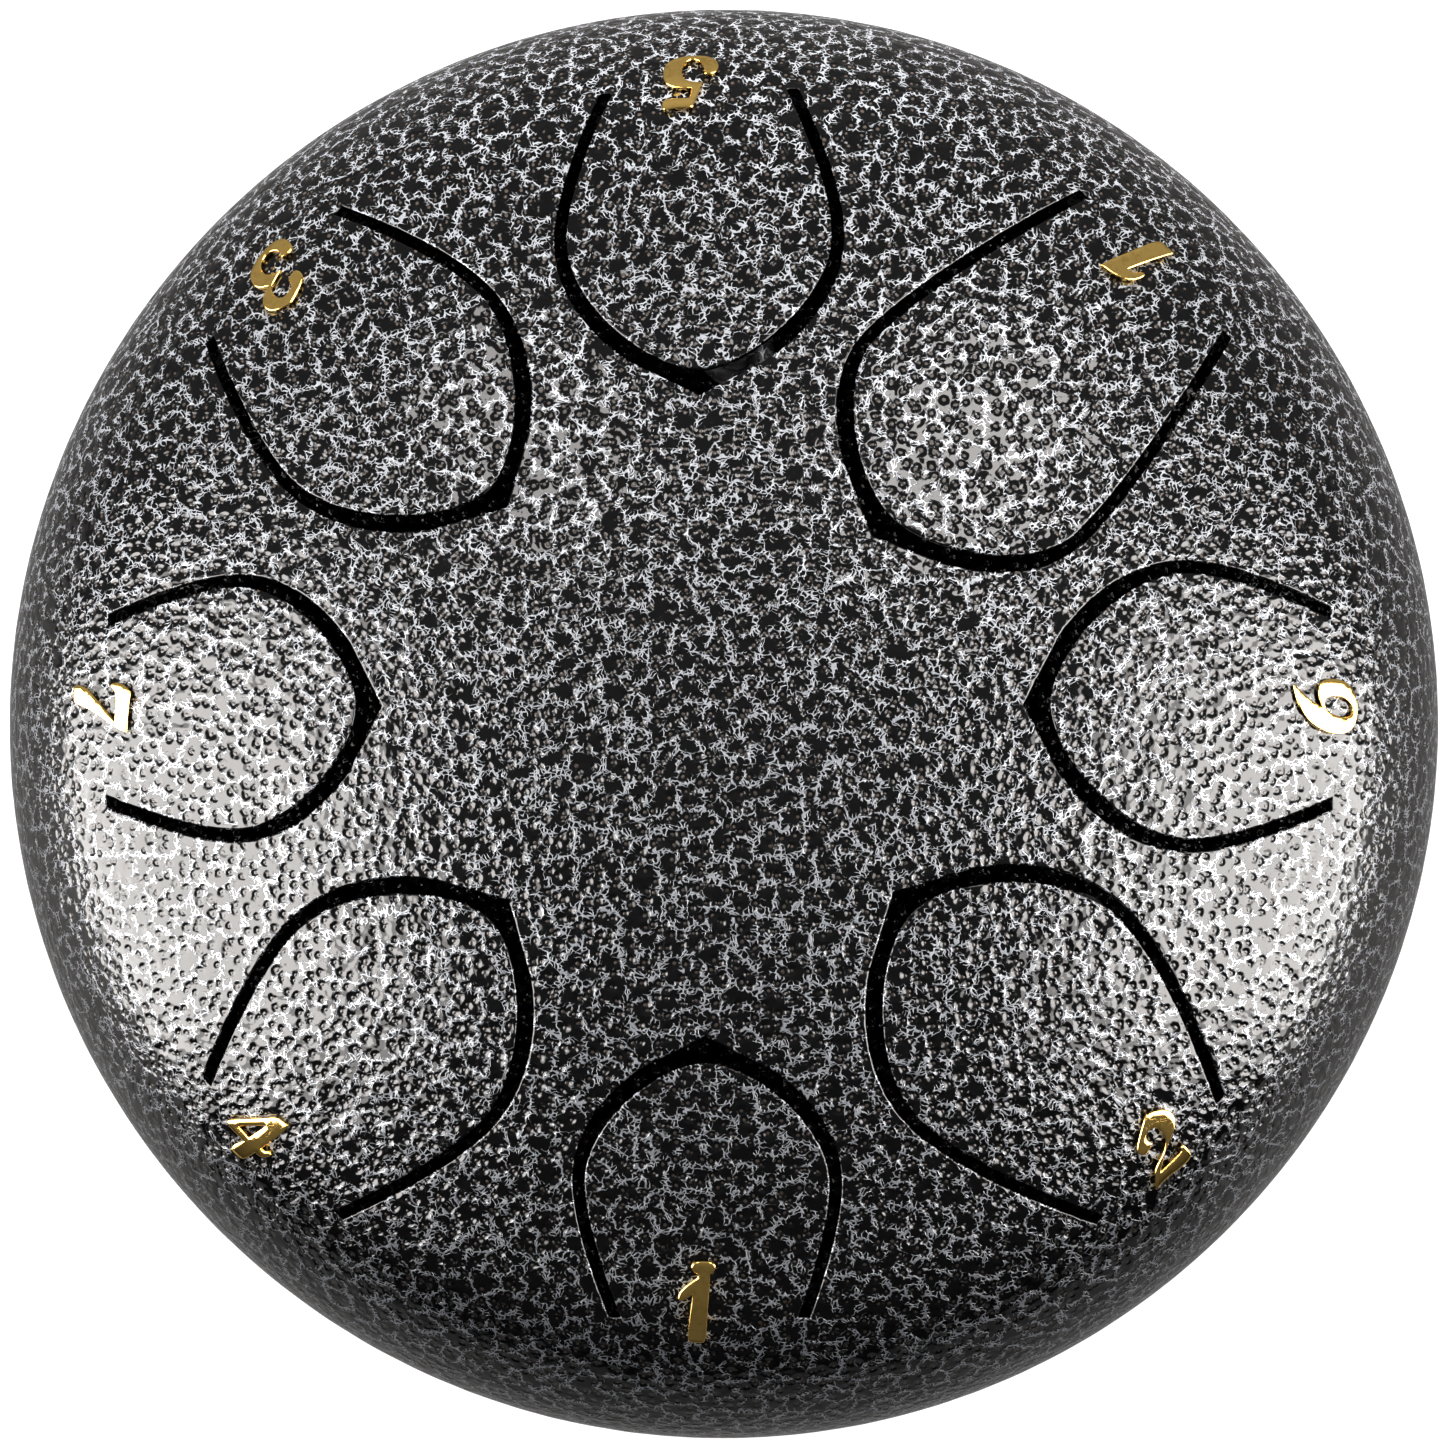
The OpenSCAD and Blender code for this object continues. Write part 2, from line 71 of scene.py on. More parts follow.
class Graph:
    """Adds nodes to a tree and links them, so that a pattern reads as a formula."""

    def __init__(self, tree: bpy.types.NodeTree) -> None:
        """Starts on a tree, which is emptied.

        Args:
            tree: The node tree to fill.
        """
        self.tree = tree
        tree.nodes.clear()

    def add(self, kind: str, inputs: dict | None = None, **settings: object) -> bpy.types.Node:
        """Adds one node.

        Args:
            kind: The node's type name.
            inputs: Values or sockets for its inputs, by name or number.
            **settings: The node's own properties.

        Returns:
            The new node.
        """
        node = self.tree.nodes.new(kind)
        for key, value in settings.items():
            setattr(node, key, value)
        for key, value in (inputs or {}).items():
            self.feed(node.inputs[key], value)
        return node

    def feed(self, socket: bpy.types.NodeSocket, value: object) -> None:
        """Links a socket to an input, or sets the input's own value.

        Args:
            socket: The input.
            value: A socket to link, or a plain value.
        """
        if isinstance(value, bpy.types.NodeSocket):
            self.tree.links.new(value, socket)
        else:
            socket.default_value = value

    def math(self, operation: str, a: object, b: object = 0.0, c: object = 0.0) -> bpy.types.NodeSocket:
        """Adds one Math node.

        Args:
            operation: The operation's name.
            a: First value or socket.
            b: Second value or socket.
            c: Third value or socket.

        Returns:
            The result's socket.
        """
        return self.add("ShaderNodeMath", {0: a, 1: b, 2: c}, operation=operation).outputs[0]

    def vector(self, operation: str, a: object, b: object) -> bpy.types.NodeSocket:
        """Adds one Vector Math node.

        Args:
            operation: The operation's name.
            a: First vector.
            b: Second vector, or the factor of SCALE.

        Returns:
            The result's socket.
        """
        second = 3 if operation == "SCALE" else 1
        return self.add("ShaderNodeVectorMath", {0: a, second: b}, operation=operation).outputs[0]

    def step(
        self, value: object, low: float, high: float, start: float = 0.0, end: float = 1.0,
    ) -> bpy.types.NodeSocket:
        """Adds a smooth step.

        Args:
            value: The value that drives it.
            low: Where the step starts.
            high: Where it ends.
            start: Result before the step.
            end: Result after it.

        Returns:
            The result's socket.
        """
        inputs = {"Value": value, "From Min": low, "From Max": high, "To Min": start, "To Max": end}
        return self.add("ShaderNodeMapRange", inputs, interpolation_type="SMOOTHSTEP").outputs[0]

    def blend(self, share: object, a: object, b: object) -> bpy.types.NodeSocket:
        """Adds a colour mix.

        Args:
            share: How much of b there is.
            a: First colour.
            b: Second colour.

        Returns:
            The mixed colour's socket.
        """
        node = self.add("ShaderNodeMix", {0: share}, data_type="RGBA")
        self.feed(node.inputs[6], a)
        self.feed(node.inputs[7], b)
        return node.outputs[2]

    def noise(self, place: object, scale: float, detail: float = 2.0, **inputs: float) -> bpy.types.Node:
        """Adds a Noise Texture node.

        Args:
            place: The coordinates' socket.
            scale: Features for each unit of the coordinates.
            detail: Number of octaves.
            **inputs: More inputs, by name.

        Returns:
            The new node.
        """
        given = {"Vector": place, "Scale": scale, "Detail": detail}
        given.update({name.capitalize(): value for name, value in inputs.items()})
        return self.add("ShaderNodeTexNoise", given)

    def cells(
        self, place: object, size: float, feature: str = "F1", randomness: float = 1.0,
    ) -> bpy.types.Node:
        """Adds a flat Voronoi Texture node.

        Args:
            place: The coordinates' socket.
            size: Size of a cell, in the coordinates' unit.
            feature: F1 or DISTANCE_TO_EDGE.
            randomness: From 0, a grid, to 1.

        Returns:
            The new node.
        """
        inputs = {"Vector": place, "Scale": 1.0 / size, "Randomness": randomness}
        node = self.add("ShaderNodeTexVoronoi", voronoi_dimensions="2D", feature=feature)
        for name, value in inputs.items():
            self.feed(node.inputs[name], value)
        return node

    def shift(self, place: object, by: object, amount: float) -> bpy.types.NodeSocket:
        """Moves coordinates by a noise colour.

        Args:
            place: The coordinates' socket.
            by: A colour socket, grey where nothing moves.
            amount: How far it moves them, in the coordinates' unit.

        Returns:
            The moved coordinates' socket.
        """
        centred = self.vector("SUBTRACT", by, (0.5, 0.5, 0.5))
        return self.vector("ADD", place, self.vector("SCALE", centred, amount * 2))

    def bump(self, shader: bpy.types.Node, height: object, distance: float, strength: float = 1.0) -> None:
        """Gives a shader relief.

        Args:
            shader: The shader.
            height: The relief's socket.
            distance: Height of one unit of it, in metres.
            strength: How much of it shows.
        """
        node = self.add("ShaderNodeBump", {"Height": height, "Distance": distance, "Strength": strength})
        self.feed(shader.inputs["Normal"], node.outputs[0])


def new_material(name: str) -> tuple[bpy.types.Material, Graph, bpy.types.Node]:
    """Makes a material with one Principled shader.

    Args:
        name: The material's name.

    Returns:
        The material, its graph and its shader.
    """
    material = bpy.data.materials.new(name)
    material.use_nodes = True
    graph = Graph(material.node_tree)
    shader = graph.add("ShaderNodeBsdfPrincipled")
    output = graph.add("ShaderNodeOutputMaterial")
    graph.feed(output.inputs["Surface"], shader.outputs[0])
    return material, graph, shader


# ---------------------------------------------------------------- finishes


@dataclass(frozen=True)
class HammerPaint:
    """Gloss black hammertone: silver threads between the pits of a thick lacquer, and in each pit a painted
    reflection, a lighter brown dot at its middle.

    The pattern lies on the sheet's own flat coordinates, the attribute skin, in millimetres.
    """

    name: str = "hammer_paint"
    ground: Colour = (0.0008, 0.0007, 0.0007, 1.0)
    silver: Colour = (0.42, 0.44, 0.47, 1.0)
    # Painted reflection: colour of the lighter brown dot in each pit, standing in for the overhead light that
    # the bowl reflects.
    pit_glint: Colour = (0.08, 0.064, 0.053, 1.0)
    pit_size: float = 1.4
    pit_depth: float = 0.075
    net_size: float = 2.6
    barb_size: float = 0.56
    ground_roughness: float = 0.07
    silver_roughness: float = 0.22
    silver_metal: float = 0.2
    gloss_level: float = 0.33
    net_sway: float = 0.9
    barb_fray: float = 0.12
    barb_reach: tuple[float, float] = (0.17, 0.36)
    barb_width: tuple[float, float] = (0.185, -0.026)
    strand_width: tuple[float, float] = (-0.02, 0.027)
    pit_sway: float = 0.22
    pit_radius: tuple[float, float] = (0.22, 0.32)
    bead_height: float = 0.35
    peel_height: float = 0.21
    thread_height: float = 0.012
    painted_depth: tuple[float, float] = (0.12, 0.3)

    def threads(self, graph: Graph, place: object) -> bpy.types.NodeSocket:
        """Adds the silver threads.

        Args:
            graph: The material's graph.
            place: The flat coordinates' socket.

        Returns:
            How much silver shows, from 0 to 1.
        """
        sway = graph.noise(place, 0.55, 2.0, roughness=0.5)
        bent = graph.shift(place, sway.outputs["Color"], self.net_sway)
        jitter = graph.noise(place, 2.2, 1.0)
        ragged = graph.shift(bent, jitter.outputs["Color"], self.barb_fray)
        net = graph.cells(bent, self.net_size, "DISTANCE_TO_EDGE").outputs["Distance"]
        barbs = graph.cells(ragged, self.barb_size, "DISTANCE_TO_EDGE").outputs["Distance"]
        patchy = graph.noise(place, 0.5, 3.0, roughness=0.6).outputs["Fac"]
        broken = graph.noise(place, 1.3, 2.0, roughness=0.5).outputs["Fac"]
        reach = graph.step(patchy, 0.34, 0.66, *self.barb_reach)
        near = graph.math("SUBTRACT", 1.0, graph.math("DIVIDE", net, reach))
        width = graph.math("MULTIPLY_ADD", near, *self.barb_width)
        barb = graph.step(graph.math("SUBTRACT", barbs, width), -0.03, 0.02, 1.0, 0.0)
        line = graph.math("SUBTRACT", net, graph.step(broken, 0.36, 0.56, *self.strand_width))
        strand = graph.step(line, -0.01, 0.008, 1.0, 0.0)
        return graph.math("MAXIMUM", strand, barb)

    def build(self) -> bpy.types.Material:
        """Builds the material.

        Returns:
            The finished material.
        """
        material, graph, shader = new_material(self.name)
        skin = graph.add("ShaderNodeAttribute", attribute_name="skin").outputs["Vector"]
        depth = graph.add("ShaderNodeSeparateXYZ", {0: skin}).outputs["Z"]
        outside = graph.step(depth, *self.painted_depth, 1.0, 0.0)
        sway = graph.noise(skin, 0.8, 1.0).outputs["Color"]
        pits = graph.cells(graph.shift(skin, sway, self.pit_sway), self.pit_size, randomness=0.85)
        chance = graph.add("ShaderNodeSeparateColor", {0: pits.outputs["Color"]}).outputs["Red"]
        radius = graph.math("MULTIPLY_ADD", chance, *self.pit_radius)
        across = graph.math("DIVIDE", pits.outputs["Distance"], radius)
        bowl = graph.step(across, 0.15, 1.05, -1.0, 0.0)
        bead = graph.step(across, 0.05, 0.32, self.bead_height, 0.0)
        threads = graph.math("MULTIPLY", self.threads(graph, skin), outside)
        clear = graph.step(across, 0.62, 0.95)
        silver = graph.math("MULTIPLY", threads, clear)
        # Painted reflection: a lighter brown dot at the middle of each pit, mixed into the black lacquer.
        glint_spot = graph.step(across, 0.14, 0.34, 1.0, 0.0)
        ground = graph.blend(glint_spot, self.ground, self.pit_glint)
        graph.feed(shader.inputs["Base Color"], graph.blend(silver, ground, self.silver))
        graph.feed(shader.inputs["Metallic"], graph.math("MULTIPLY", silver, self.silver_metal))
        rougher = self.silver_roughness - self.ground_roughness
        roughness = graph.math("MULTIPLY_ADD", silver, rougher, self.ground_roughness)
        graph.feed(shader.inputs["Roughness"], roughness)
        shader.inputs["Specular IOR Level"].default_value = self.gloss_level
        peel = graph.noise(skin, 0.42, 2.0).outputs["Fac"]
        relief = graph.math("MULTIPLY", graph.math("ADD", bowl, bead), self.pit_depth)
        relief = graph.math("MULTIPLY_ADD", peel, self.peel_height, relief)
        relief = graph.math("MULTIPLY_ADD", silver, self.thread_height, relief)
        graph.bump(shader, relief, MM)
        return material


@dataclass(frozen=True)
class GoldPlate:
    """Polished gold of the stuck-on numbers, a little wavy and with hairline marks."""

    name: str = "gold_number"
    gold: Colour = (0.82, 0.54, 0.15, 1.0)
    marked: Colour = (0.7, 0.44, 0.11, 1.0)
    roughness: tuple[float, float] = (0.06, 0.03)
    wave_height: float = 0.012
    hair_depth: float = 0.0006

    def build(self) -> bpy.types.Material:
        """Builds the material.

        Returns:
            The finished material.
        """
        material, graph, shader = new_material(self.name)
        place = graph.add("ShaderNodeTexCoord").outputs["Object"]
        wave = graph.noise(place, 320.0, 2.0).outputs["Fac"]
        smear = graph.noise(place, 900.0, 4.0, roughness=0.7).outputs["Fac"]
        hair = graph.noise(place, 520.0, 1.0, distortion=2.5).outputs["Fac"]
        line = graph.step(graph.math("ABSOLUTE", graph.math("SUBTRACT", hair, 0.5)), 0.0, 0.012, 1.0, 0.0)
        colour = graph.blend(graph.step(smear, 0.45, 0.7), self.gold, self.marked)
        graph.feed(shader.inputs["Base Color"], colour)
        shader.inputs["Metallic"].default_value = 1.0
        graph.feed(shader.inputs["Roughness"], graph.math("MULTIPLY_ADD", smear, *self.roughness))
        waves = graph.math("MULTIPLY", wave, self.wave_height)
        graph.bump(shader, graph.math("MULTIPLY_ADD", line, -self.hair_depth, waves), MM)
        return material


@dataclass(frozen=True)
class CloudyFinish:
    """A plain finish with drifts of a second colour and a fine grain.

    Scales are features for each metre. The edges are the noise levels between which a drift fades in.
    """

    name: str
    clean: Colour
    drift: Colour
    metallic: float
    cloud_scale: float
    cloud_roughness: float
    colour_edges: tuple[float, float]
    roughness: tuple[float, float]
    grain_scale: float
    grain_detail: float
    grain_height: float
    grain_strength: float
    roughness_edges: tuple[float, float] = (0.3, 0.7)

    def build(self) -> bpy.types.Material:
        """Builds the material.

        Returns:
            The finished material.
        """
        material, graph, shader = new_material(self.name)
        place = graph.add("ShaderNodeTexCoord").outputs["Object"]
        cloud = graph.noise(place, self.cloud_scale, 4.0, roughness=self.cloud_roughness).outputs["Fac"]
        grain = graph.noise(place, self.grain_scale, self.grain_detail).outputs["Fac"]
        colour = graph.blend(graph.step(cloud, *self.colour_edges), self.clean, self.drift)
        graph.feed(shader.inputs["Base Color"], colour)
        shader.inputs["Metallic"].default_value = self.metallic
        roughness = graph.step(cloud, *self.roughness_edges, *self.roughness)
        graph.feed(shader.inputs["Roughness"], roughness)
        graph.bump(shader, grain, self.grain_height * MM, self.grain_strength)
        return material


FOOT_RUBBER = CloudyFinish(
    "foot_rubber", clean=(0.018, 0.018, 0.018, 1.0), drift=(0.05, 0.049, 0.046, 1.0), metallic=0.0,
    cloud_scale=450.0, cloud_roughness=0.7, colour_edges=(0.42, 0.75), roughness=(0.62, 0.85),
    grain_scale=5200.0, grain_detail=2.0, grain_height=0.05, grain_strength=0.7)
FASTENER_STEEL = CloudyFinish(
    "fastener_steel", clean=(0.66, 0.66, 0.68, 1.0), drift=(0.42, 0.42, 0.43, 1.0), metallic=1.0,
    cloud_scale=700.0, cloud_roughness=0.6, colour_edges=(0.4, 0.66), roughness=(0.22, 0.42),
    grain_scale=6000.0, grain_detail=1.0, grain_height=0.02, grain_strength=0.5)
INNER_STEEL = CloudyFinish(
    "inner_steel", clean=(0.09, 0.088, 0.085, 1.0), drift=(0.02, 0.02, 0.02, 1.0), metallic=0.5,
    cloud_scale=60.0, cloud_roughness=0.6, colour_edges=(0.35, 0.65), roughness=(0.5, 0.75),
    grain_scale=2600.0, grain_detail=2.0, grain_height=0.04, grain_strength=0.6)


class Finish(Enum):
    """The finishes of the drum, each with the record's slot that it stands for."""

    PAINT = "hammer_paint"
    GOLD = "gold_number"
    RUBBER = "foot_rubber"
    STEEL = "fastener_steel"
    INSIDE = "inner_steel"


class Palette:
    """Builds each finish once and hands it out."""

    def __init__(self) -> None:
        """Builds all the finishes."""
        makers = {
            Finish.PAINT: HammerPaint(),
            Finish.GOLD: GoldPlate(),
            Finish.RUBBER: FOOT_RUBBER,
            Finish.STEEL: FASTENER_STEEL,
            Finish.INSIDE: INNER_STEEL,
        }
        self.made = {finish: maker.build() for finish, maker in makers.items()}

    def dress(self, piece: bpy.types.Object, *finishes: Finish) -> None:
        """Gives a piece its finishes.

        Args:
            piece: The piece to dress.
            *finishes: One finish for each of the mesh's material numbers.
        """
        piece.data.materials.clear()
        for finish in finishes:
            piece.data.materials.append(self.made[finish])


# ---------------------------------------------------------------- mesh helpers


def linked(name: str, data: bpy.types.ID) -> bpy.types.Object:
    """Makes an object and links it to the scene.

    Args:
        name: Its name.
        data: Its mesh, light or camera.

    Returns:
        The object.
    """
    made = bpy.data.objects.new(name, data)
    bpy.context.scene.collection.objects.link(made)
    return made


@dataclass
class MeshDraft:
    """Points and triangles of a piece, in millimetres, before it becomes a mesh."""

    points: np.ndarray
    triangles: np.ndarray
    finish: np.ndarray | None = None
    normals: np.ndarray | None = None
    skin: np.ndarray | None = None

    def piece(self, name: str) -> bpy.types.Object:
        """Writes the draft as an object with a smooth mesh.

        Args:
            name: The piece's name.

        Returns:
            The new object, linked to the scene.
        """
        used, triangles = np.unique(self.triangles, return_inverse=True)
        triangles = triangles.reshape(-1, 3)
        mesh = bpy.data.meshes.new(name)
        mesh.vertices.add(len(used))
        mesh.vertices.foreach_set("co", (self.points[used] * MM).astype(np.float32).ravel())
        mesh.loops.add(triangles.size)
        mesh.loops.foreach_set("vertex_index", triangles.astype(np.int32).ravel())
        mesh.polygons.add(len(triangles))
        mesh.polygons.foreach_set("loop_start", np.arange(0, triangles.size, 3, dtype=np.int32))
        if self.finish is not None:
            mesh.polygons.foreach_set("material_index", self.finish.astype(np.int32))
        mesh.polygons.foreach_set("use_smooth", np.ones(len(triangles), bool))
        mesh.update(calc_edges=True)
        if self.skin is not None:
            skin = mesh.attributes.new("skin", "FLOAT_VECTOR", "POINT")
            skin.data.foreach_set("vector", self.skin[used].astype(np.float32).ravel())
        mesh.validate()
        if self.normals is not None:
            mesh.normals_split_custom_set_from_vertices([Vector(n) for n in self.normals[used]])
        return linked(name, mesh)


def quads(a: np.ndarray, b: np.ndarray, closed: bool = False) -> np.ndarray:
    """Triangles of the strip between two rows of points. It faces left of their course if b is below a.

    Args:
        a: Point numbers of the first row.
        b: Point numbers of the second row.
        closed: Whether the rows are rings.

    Returns:
        Triangles, three point numbers each.
    """
    if closed:
        a, b = np.append(a, a[0]), np.append(b, b[0])
    first = np.stack([a[:-1], a[1:], b[1:]], axis=1)
    second = np.stack([a[:-1], b[1:], b[:-1]], axis=1)
    return np.concatenate([first, second])


def point_normals(points: np.ndarray, triangles: np.ndarray) -> np.ndarray:
    """Normals of the points, weighted by the area of the triangles round them.

    Args:
        points: The points.
        triangles: The triangles that count.

    Returns:
        One unit vector for each point.
    """
    corner = points[triangles]
    area = np.cross(corner[:, 1] - corner[:, 0], corner[:, 2] - corner[:, 0])
    total = np.zeros_like(points)
    for k in range(3):
        np.add.at(total, triangles[:, k], area)
    length = np.linalg.norm(total, axis=1)
    total[length < 1e-12] = (0.0, 0.0, 1.0)
    return total / np.maximum(length, 1e-12)[:, None]


def cubic(control: list[tuple[float, float]], step: float) -> np.ndarray:
    """Points of a cubic curve, without its first one.

    Args:
        control: Its four control points.
        step: Distance between the points, about.

    Returns:
        The points.
    """
    p = np.array(control, float)
    count = max(2, math.ceil(np.linalg.norm(np.diff(p, axis=0), axis=1).sum() / step))
    t = np.linspace(0, 1, count + 1)[1:, None]
    return (1 - t) ** 3 * p[0] + 3 * (1 - t) ** 2 * t * p[1] + 3 * (1 - t) * t**2 * p[2] + t**3 * p[3]


def straight(a: np.ndarray, b: np.ndarray, step: float) -> np.ndarray:
    """Points of a straight line, without its first one.

    Args:
        a: Its start.
        b: Its end.
        step: Distance between the points, about.

    Returns:
        The points.
    """
    count = max(1, math.ceil(np.linalg.norm(np.subtract(b, a)) / step))
    t = np.linspace(0, 1, count + 1)[1:, None]
    return np.asarray(a, float) + t * np.subtract(b, a)


def bow(a: np.ndarray, p: np.ndarray, b: np.ndarray, count: int) -> np.ndarray:
    """Points of a quadratic curve, without its first one.

    Args:
        a: Its start.
        p: Its control point.
        b: Its end.
        count: How many points.

    Returns:
        The points.
    """
    t = np.linspace(0, 1, count + 1)[1:, None]
    return (1 - t) ** 2 * np.asarray(a) + 2 * t * (1 - t) * np.asarray(p) + t**2 * np.asarray(b)


def circle(count: int) -> np.ndarray:
    """Unit vectors set evenly round a circle."""
    turn = np.linspace(0, FULL_TURN, count, endpoint=False)
    return np.column_stack([np.cos(turn), np.sin(turn)])


def revolve(section: np.ndarray, closed: bool) -> tuple[np.ndarray, np.ndarray]:
    """Surface that a section leaves as it turns about the Z axis.

    Args:
        section: Distance from the axis and height, by turn and by point. On the outside the points run
            upwards.
        closed: Whether the section is a loop. An open one gets a flat cap at each end.

    Returns:
        The points and the triangles.
    """
    turns, rows, _ = section.shape
    spokes = circle(turns)
    r, z = section[..., 0], section[..., 1]
    points = np.stack([r * spokes[:, :1], r * spokes[:, 1:], z], axis=-1).reshape(-1, 3)
    number = np.arange(turns * rows).reshape(turns, rows)
    last = rows if closed else rows - 1
    strips = [quads(number[:, k], number[:, (k + 1) % rows], closed=True) for k in range(last)]
    if not closed:
        centres = np.array([[0, 0, z[:, 0].mean()], [0, 0, z[:, -1].mean()]])
        low, high = len(points), len(points) + 1
        points = np.concatenate([points, centres])
        first, end = number[:, 0], number[:, -1]
        strips.append(np.stack([np.full(turns, low), np.roll(first, -1), first], axis=1))
        strips.append(np.stack([np.full(turns, high), end, np.roll(end, -1)], axis=1))
    return points, np.concatenate(strips)


def joined(name: str, *parts: bpy.types.Object) -> bpy.types.Object:
    """Makes one object of several, which are removed.

    Args:
        name: The new object's name.
        *parts: The objects, all untransformed.

    Returns:
        The new object, linked to the scene.
    """
    shape = bmesh.new()
    for part in parts:
        shape.from_mesh(part.data)
        bpy.data.objects.remove(part)
    mesh = bpy.data.meshes.new(name)
    shape.to_mesh(mesh)
    shape.free()
    return linked(name, mesh)


def in_frame(points: np.ndarray, matrix: Matrix) -> np.ndarray:
    """Points moved by a matrix.

    Args:
        points: The points.
        matrix: A 4 by 4 matrix.

    Returns:
        The moved points.
    """
    m = np.array(matrix)
    return points @ m[:3, :3].T + m[:3, 3]


def grown(loop: np.ndarray, by: float) -> np.ndarray:
    """A closed loop that runs counter-clockwise, moved outwards.

    Args:
        loop: The loop's points.
        by: How far it moves; inwards if negative.

    Returns:
        As many points, with mitred corners.
    """
    ahead = np.roll(loop, -1, axis=0) - loop
    ahead /= np.maximum(np.linalg.norm(ahead, axis=1), 1e-9)[:, None]
    behind = np.roll(ahead, 1, axis=0)
    out_ahead = np.stack([ahead[:, 1], -ahead[:, 0]], axis=1)
    out_behind = np.stack([behind[:, 1], -behind[:, 0]], axis=1)
    middle = out_ahead + out_behind
    mitre = 2.0 / np.maximum((middle * middle).sum(axis=1), 1.0)
    return loop + by * middle * mitre[:, None]


def inside(points: np.ndarray, loop: np.ndarray) -> np.ndarray:
    """Which points lie inside a closed loop.

    Args:
        points: The points to test.
        loop: The loop.

    Returns:
        One truth value for each point.
    """
    low, high = loop.min(axis=0), loop.max(axis=0)
    found = np.zeros(len(points), bool)
    near = np.nonzero(((points >= low) & (points <= high)).all(axis=1))[0]
    x, y = points[near, 0], points[near, 1]
    within = np.zeros(len(near), bool)
    for (ax, ay), (bx, by) in zip(loop, np.roll(loop, -1, axis=0)):
        if ay != by:
            within ^= ((ay > y) != (by > y)) & (x < (bx - ax) * (y - ay) / (by - ay) + ax)
    found[near] = within
    return found


def within(points: np.ndarray, rings: list[np.ndarray]) -> np.ndarray:
    """Which points lie inside the first ring and in none of the others.

    Args:
        points: The points to test.
        rings: An outline and the holes in it.

    Returns:
        One truth value for each point.
    """
    found = inside(points, rings[0])
    for ring in rings[1:]:
        found &= ~inside(points, ring)
    return found


def turned(points: np.ndarray, degrees: float) -> np.ndarray:
    """Points in plan, turned about the drum's axis.

    Args:
        points: The points.
        degrees: The angle.

    Returns:
        The turned points.
    """
    c, s = math.cos(math.radians(degrees)), math.sin(math.radians(degrees))
    return points @ np.array([[c, s], [-s, c]])


def triangulated(flat: np.ndarray, edges: list[tuple[int, int]]) -> np.ndarray:
    """Triangles between flat points that keep to the given edges.

    Args:
        flat: The points.
        edges: Pairs of point numbers.

    Returns:
        The triangles, all counter-clockwise.
    """
    smallest = 1e-7
    _, _, faces, sources, *_ = delaunay_2d_cdt([Vector(p) for p in flat], edges, [], 0, smallest, True)
    origin = np.array([numbers[0] if numbers else -1 for numbers in sources])
    triangles = origin[np.array([face for face in faces if len(face) == 3])]
    triangles = triangles[(triangles >= 0).all(axis=1)]
    corner = flat[triangles]
    area = np.cross(corner[:, 1] - corner[:, 0], corner[:, 2] - corner[:, 0])
    triangles = np.where((area < 0)[:, None], triangles[:, ::-1], triangles)
    return triangles[np.abs(area) > smallest]


# ---------------------------------------------------------------- geometry nodes


class NodeRule(Graph):
    """A Geometry Nodes tree with named inputs, which ends in real, finished geometry."""

    def __init__(self, name: str, inputs: dict[str, object]) -> None:
        """Makes the tree and its inputs.

        Args:
            name: The tree's name.
            inputs: Each input's name and value, a number or a material.
        """
        tree = bpy.data.node_groups.new(name, "GeometryNodeTree")
        super().__init__(tree)
        self.values = inputs
        tree.interface.new_socket("Geometry", in_out="INPUT", socket_type="NodeSocketGeometry")
        for key, value in inputs.items():
            kind = {int: "Int", float: "Float"}.get(type(value), "Material")
            tree.interface.new_socket(key, in_out="INPUT", socket_type=f"NodeSocket{kind}")
        tree.interface.new_socket("Geometry", in_out="OUTPUT", socket_type="NodeSocketGeometry")
        self.given = self.add("NodeGroupInput").outputs

    def triple(self, x: object, y: object, z: object) -> bpy.types.NodeSocket:
        """Joins three numbers to a vector."""
        return self.add("ShaderNodeCombineXYZ", {0: x, 1: y, 2: z}).outputs[0]

    def end(self, shape: bpy.types.NodeSocket) -> None:
        """Ends the tree with Realize Instances and Set Material.

        Args:
            shape: The finished geometry.
        """
        real = self.add("GeometryNodeRealizeInstances", {"Geometry": shape}).outputs[0]
        dressed = self.add("GeometryNodeSetMaterial", {"Geometry": real, "Material": self.given["Material"]})
        self.add("NodeGroupOutput", {0: dressed.outputs[0]})

    def apply(self, piece: bpy.types.Object) -> None:
        """Runs the tree on a piece and keeps the result as its plain mesh.

        Args:
            piece: The piece, which holds the tree's incoming geometry.
        """
        modifier = piece.modifiers.new(self.tree.name, "NODES")
        modifier.node_group = self.tree
        for socket in self.tree.interface.items_tree:
            if socket.in_out == "INPUT" and socket.name in self.values:
                modifier[socket.identifier] = self.values[socket.name]
        depsgraph = bpy.context.evaluated_depsgraph_get()
        result = piece.evaluated_get(depsgraph)
        mesh = bpy.data.meshes.new_from_object(result, preserve_all_data_layers=True, depsgraph=depsgraph)
        piece.modifiers.remove(modifier)
        piece.data = mesh


# ---------------------------------------------------------------- the domes


